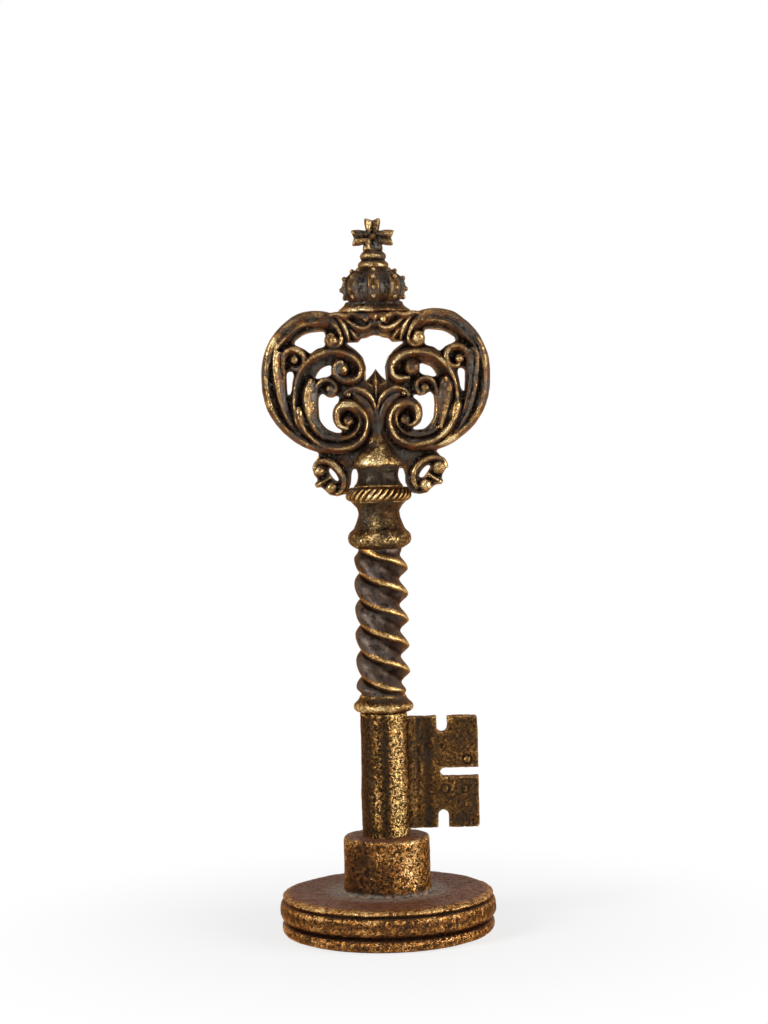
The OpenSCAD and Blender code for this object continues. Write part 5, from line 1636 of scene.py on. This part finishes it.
class DecorativeKey:
    """The whole key: each group of pieces, from the table upwards."""

    def base(self) -> list[Casting]:
        """Lists the foot plate, the base disc and the pedestal.

        Returns:
            The castings from the table upwards.
        """
        pits = Lumps(5, ((14, 0.2), (4, 0.14), (1.6, 0.07)), pit_depth=0.28, pit_size=1.6)
        return [
            Turned(
                "foot_plate", BASE_BRONZE, pits, around=480, step=0.6,
                worn_rims=((54.4, 7.4, 2.6, -2.5), (56.8, 4.4, 2, 0.4)),
                profile=[[51, 0.5], [54.4, 0.5], [56.2, 1.1], [56.9, 2.6], [56.9, 5], [56.6, 6], [55.2, 6.9],
                         [54.2, 7.6], [51, 7.6]]),
            Turned(
                "base_disc", BASE_BRONZE, replace(pits, seed=9), around=480, step=0.65, corner=2,
                worn_rims=((54.8, 21.6, 3.2, 1), (57.4, 16.5, 2.4, 0.6), (57.6, 11.5, 2.4, 0.3),
                           (55.2, 18.6, 1.5, -2.5), (54.4, 7.6, 2.4, -2.5)),
                profile=[[50, 7.3], [54.2, 7.3], [55, 7.9], [56.7, 9.2], [57.5, 10.2], [57.8, 12], [57.6, 15],
                         [57.2, 17.2], [56.4, 18], [55.2, 18.6], [56.2, 19.3], [56.7, 20.1], [56.3, 20.9],
                         [55, 21.5], [52.6, 21.9], [49, 22], [24, 22]]),
            Turned(
                "pedestal", PEDESTAL_BRONZE,
                Lumps(21, ((9, 0.18), (3, 0.14), (1.5, 0.08)), pit_depth=0.25, pit_share=0.2), around=300,
                lit_and_shaded_spots=((12, 36, 8, 16, 1.1), (-4, 44, 6, 4, 0.6), (-16, 36, 8, 16, -0.7)),
                profile=[[20, 21.9], [25.9, 22.1], [24.4, 22.7], [23.5, 23.9], [23.1, 25.6], [23.1, 50.2],
                         [22.6, 51.2], [21.6, 51.5], [11, 51.5]])]

    def shank(self) -> list[Casting]:
        """Lists the barrel, the bit, the bead, the twist and the neck.

        Returns:
            The castings from the table upwards.
        """
        return [
            Turned(
                "barrel", BARREL_BRONZE,
                Lumps(31, ((12, 0.22), (3, 0.15), (1.5, 0.08)), pit_depth=0.25, pit_share=0.2), step=0.38,
                # a painted highlight band on the right of the front, painted shade on the left
                lit_and_shaded_spots=((7.2, 85, 4.4, 90, 1.3), (-9.5, 85, 4.5, 90, -0.7), (-4.6, 68, 1.7, 16, 0.9),
                       (-4.6, 106, 1.5, 9, 0.5), (0.6, 85, 1.8, 90, -1)),
                profile=[[8, 51.4], [12.95, 51.4], [12.8, 80], [12.5, 117.4], [9, 118.1]]),
            Bit(
                "bit", BIT_BRONZE,
                Lumps(41, ((8, 0.12), (2.4, 0.12), (1.3, 0.06)), pit_depth=0.22, pit_size=1.4)),
            Turned(
                "bead_collar", COLLAR_BRONZE,
                Lumps(51, ((7, 0.22), (2.2, 0.1)), pit_depth=0.15, pit_size=1.4, pit_share=0.3), around=220,
                profile=[[10, 117.9], [13.4, 118], [14.9, 118.5], [15.8, 119.5], [16.2, 120.8], [15.9, 122],
                         [14.9, 123.1], [13.6, 124.2], [12.8, 125.4], [12.3, 127.2], [10, 127.4]]),
            TwistedShaft(
                "twisted_shaft", TWIST_BRONZE, Lumps(61, ((6, 0.15), (2, 0.06))), slot=Slot.DARK, around=260,
                step=0.42, corner=0, profile=[[12, 126.6], [12, 205.6]]),
            Turned(
                "neck_collar", NECK_BRONZE,
                Lumps(71, ((5, 0.2), (1.8, 0.12)), pit_depth=0.16, pit_size=1.4), around=220,
                lit_and_shaded_spots=((-2.5, 216.5, 3.5, 5.5, 1.6), (-1, 224, 2.4, 5, 0.8), (6, 216, 3, 6, 0.7),
                       (0, 209, 16, 2.4, 0.5)),
                profile=[[10, 204.8], [11.9, 205], [13.1, 205.7], [14.7, 206.6], [16.3, 208], [17.1, 210],
                         [16.8, 212.4], [15.6, 214.2], [13.8, 215.6], [12.5, 218.4], [11.5, 221.4],
                         [10.9, 224], [11.3, 226], [12.2, 227.6], [13.7, 229.2], [15.2, 230.6],
                         [11, 230.8]])]

    def bow(self) -> list[Casting]:
        """Lists the gadroon ring, the bell, the stem and the two scroll castings.

        Returns:
            The castings from the table upwards.
        """
        scroll_lumps = Lumps(111, ((6, 0.16), (1.8, 0.1)))
        return [
            RopeCollar(
                "rope_collar", ROPE_BRONZE, Lumps(81, ((4, 0.14), (1.6, 0.08))), around=560, step=0.4,
                corner=1, lit_and_shaded_spots=((-3, 234, 8, 8, 0.8),), worn_rims=((15.4, 237.8, 1.4, -2),),
                profile=[[12, 230.5], [15.3, 230.6], [16.8, 231.5], [17.6, 232.6], [17.7, 234.2],
                         [17.2, 235.6], [16.6, 236.8], [15.4, 237.8], [12, 238.1]]),
            Turned(
                "bell_post", BELL_BRONZE, Lumps(91, ((6, 0.16), (2.2, 0.12))), slot=Slot.DARK,
                worn_rims=((13.4, 238.2, 1.6, -2),), lit_and_shaded_spots=((-4, 253, 6, 3.2, 1.5), (2, 258, 4.5, 5, 1.5)),
                profile=[[10, 237.9], [13.5, 238], [13.1, 239], [11.7, 240.4], [10.8, 243], [10.8, 245.6],
                         [11.5, 247.6], [12.5, 249.2], [13.15, 250.2], [13.1, 251.6], [12.5, 253.3],
                         [11.4, 255.3], [9.7, 257.6], [8.1, 259.8], [6.7, 262], [5.6, 263.8], [4, 264.6]]),
            CalyxStem(
                "calyx_stem", BOW_BRONZE, Lumps(101, ((4, 0.12), (1.6, 0.08))),
                lit_and_shaded_spots=((-6, 289, 4, 2.5, 0.8), (4, 284, 1.6, 5, 1), (0, 262, 5, 4, 0.9),
                       (-1, 296, 1.2, 4, 0.8))),
            BowHalf(
                "bow_left", BOW_BRONZE, scroll_lumps,
                lit_and_shaded_spots=((-15.5, 282, 5, 2.8, 1.6), (-5.6, 271, 2.6, 7, 0.8), (-54, 314, 3, 10, 1.1),
                       (-42, 325.5, 8, 2.4, 1), (-58.6, 292, 2, 22, 0.4), (-13, 322, 6.5, 4.5, 1.1),
                       (-19, 302.5, 3, 3, 0.5), (-22, 317, 3, 3, 0.3), (-30, 263.5, 8, 2.5, 0.5),
                       (-44, 300, 4, 7, -0.5), (-16, 271, 5, 4, 0.5), (-15.2, 275.3, 2.6, 2.6, -2.2),
                       (-35, 290, 4, 9, 0.7), (-52, 297, 2.6, 16, 0.9), (-8, 329.4, 14, 1.6, -0.9))),
            BowHalf(
                "bow_right", BOW_BRONZE, replace(scroll_lumps, seed=121), mirrored=True,
                lit_and_shaded_spots=((37, 267, 4.5, 5, 2), (14, 322, 6.5, 6, 1.1), (10.5, 300, 3, 6, 1.2),
                       (10.8, 275.5, 3.5, 6, 1.3), (32, 262.6, 9, 2.4, 0.8), (56, 296, 2.6, 14, 0.6),
                       (20, 316, 3.5, 3.5, 0.4), (30, 327.5, 12, 5, 0.4), (18, 302, 4, 4, -0.3),
                       (15.2, 275.3, 2.6, 2.6, -2.2), (19.5, 303, 3, 3, -0.8), (50, 290, 3.5, 14, -0.9),
                       (36, 289, 4.5, 7, -0.7), (8, 329.4, 14, 1.6, -0.9), (30, 312, 10, 3, -0.3),
                       (13, 306, 3.2, 5, 1.3)))]

    def crown(self) -> list[Casting]:
        """Lists the crown seat, the crown, the finial rings and the cross.

        Returns:
            The castings from the table upwards.
        """
        return [
            Turned(
                "crown_seat", CROWN_BRONZE, Lumps(131, ((5, 0.55), (1.8, 0.2))), deep=0.86,
                lit_and_shaded_spots=((-9, 332.8, 7, 1.9, 2.2), (12, 332.5, 7, 2, -0.6), (0, 336.2, 18, 1, -1.2)),
                profile=[[12, 330.9], [19, 330.95], [19.6, 331.4], [19.2, 332.2], [18, 333], [16.7, 333.8],
                         [15.7, 334.6], [15.5, 335.4], [15.6, 336.1], [15, 336.7], [10, 336.7]]),
            CrownBody("crown_body", CROWN_BRONZE, Lumps(141, ((3, 0.1), (1.4, 0.05)))),
            Turned(
                "finial_rings", CROWN_BRONZE, Lumps(151, ((3, 0.12), (1.4, 0.05))), around=160, step=0.35,
                lit_and_shaded_spots=((-2.5, 356.2, 3.4, 1.1, 1.3), (4.4, 355.8, 2, 1.2, 0.9), (-1, 361, 4.4, 1, 1.3)),
                profile=[[5, 354.3], [7.6, 354.5], [8.2, 355.4], [8.2, 356.7], [7.6, 357.7], [6.2, 358.6],
                         [6.2, 359.3], [7, 360.2], [7, 361.4], [6.3, 362.5], [5, 363.6], [3, 363.8]]),
            Cross(
                "cross", CROWN_BRONZE, Lumps(161, ((2.5, 0.1), (1.2, 0.05))),
                lit_and_shaded_spots=((-6, 369.8, 4, 1.1, 1.5), (-5, 373.4, 4, 1.4, -0.6), (-1.7, 377.5, 1.2, 3.2, 1.6),
                       (2, 377.5, 1.2, 3.2, -0.4), (7.5, 371.6, 3, 3, 0.8), (-1.8, 366.8, 0.9, 3, 1.2),
                       (1.5, 366, 1.6, 3, -0.6)))]

    def hidden_parts(self, nodes: dict[str, bpy.types.Object]) -> None:
        """Dresses the bought hardware and the felt, which keep the frame's own shapes.

        Args:
            nodes: The frame's nodes by name.
        """
        for name in HARDWARE + ("felt_pad",):
            dress(nodes[name].data, ZincSteel() if name in HARDWARE else PressedFelt())
            LOG.info("%s: the frame's own shape", name)

    def build(self, nodes: dict[str, bpy.types.Object]) -> None:
        """Builds every piece.

        Args:
            nodes: The frame's nodes by name.
        """
        for casting in self.base() + self.shank() + self.bow() + self.crown():
            casting.build()
        self.hidden_parts(nodes)


def main() -> None:
    """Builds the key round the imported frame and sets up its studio."""
    logging.basicConfig(level=logging.INFO, format="%(name)s: %(message)s")
    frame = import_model()
    DecorativeKey().build(frame["nodes"])
    Studio().build()
    bpy.context.scene.view_settings.view_transform = "Standard"


if __name__ == "__main__":
    main()
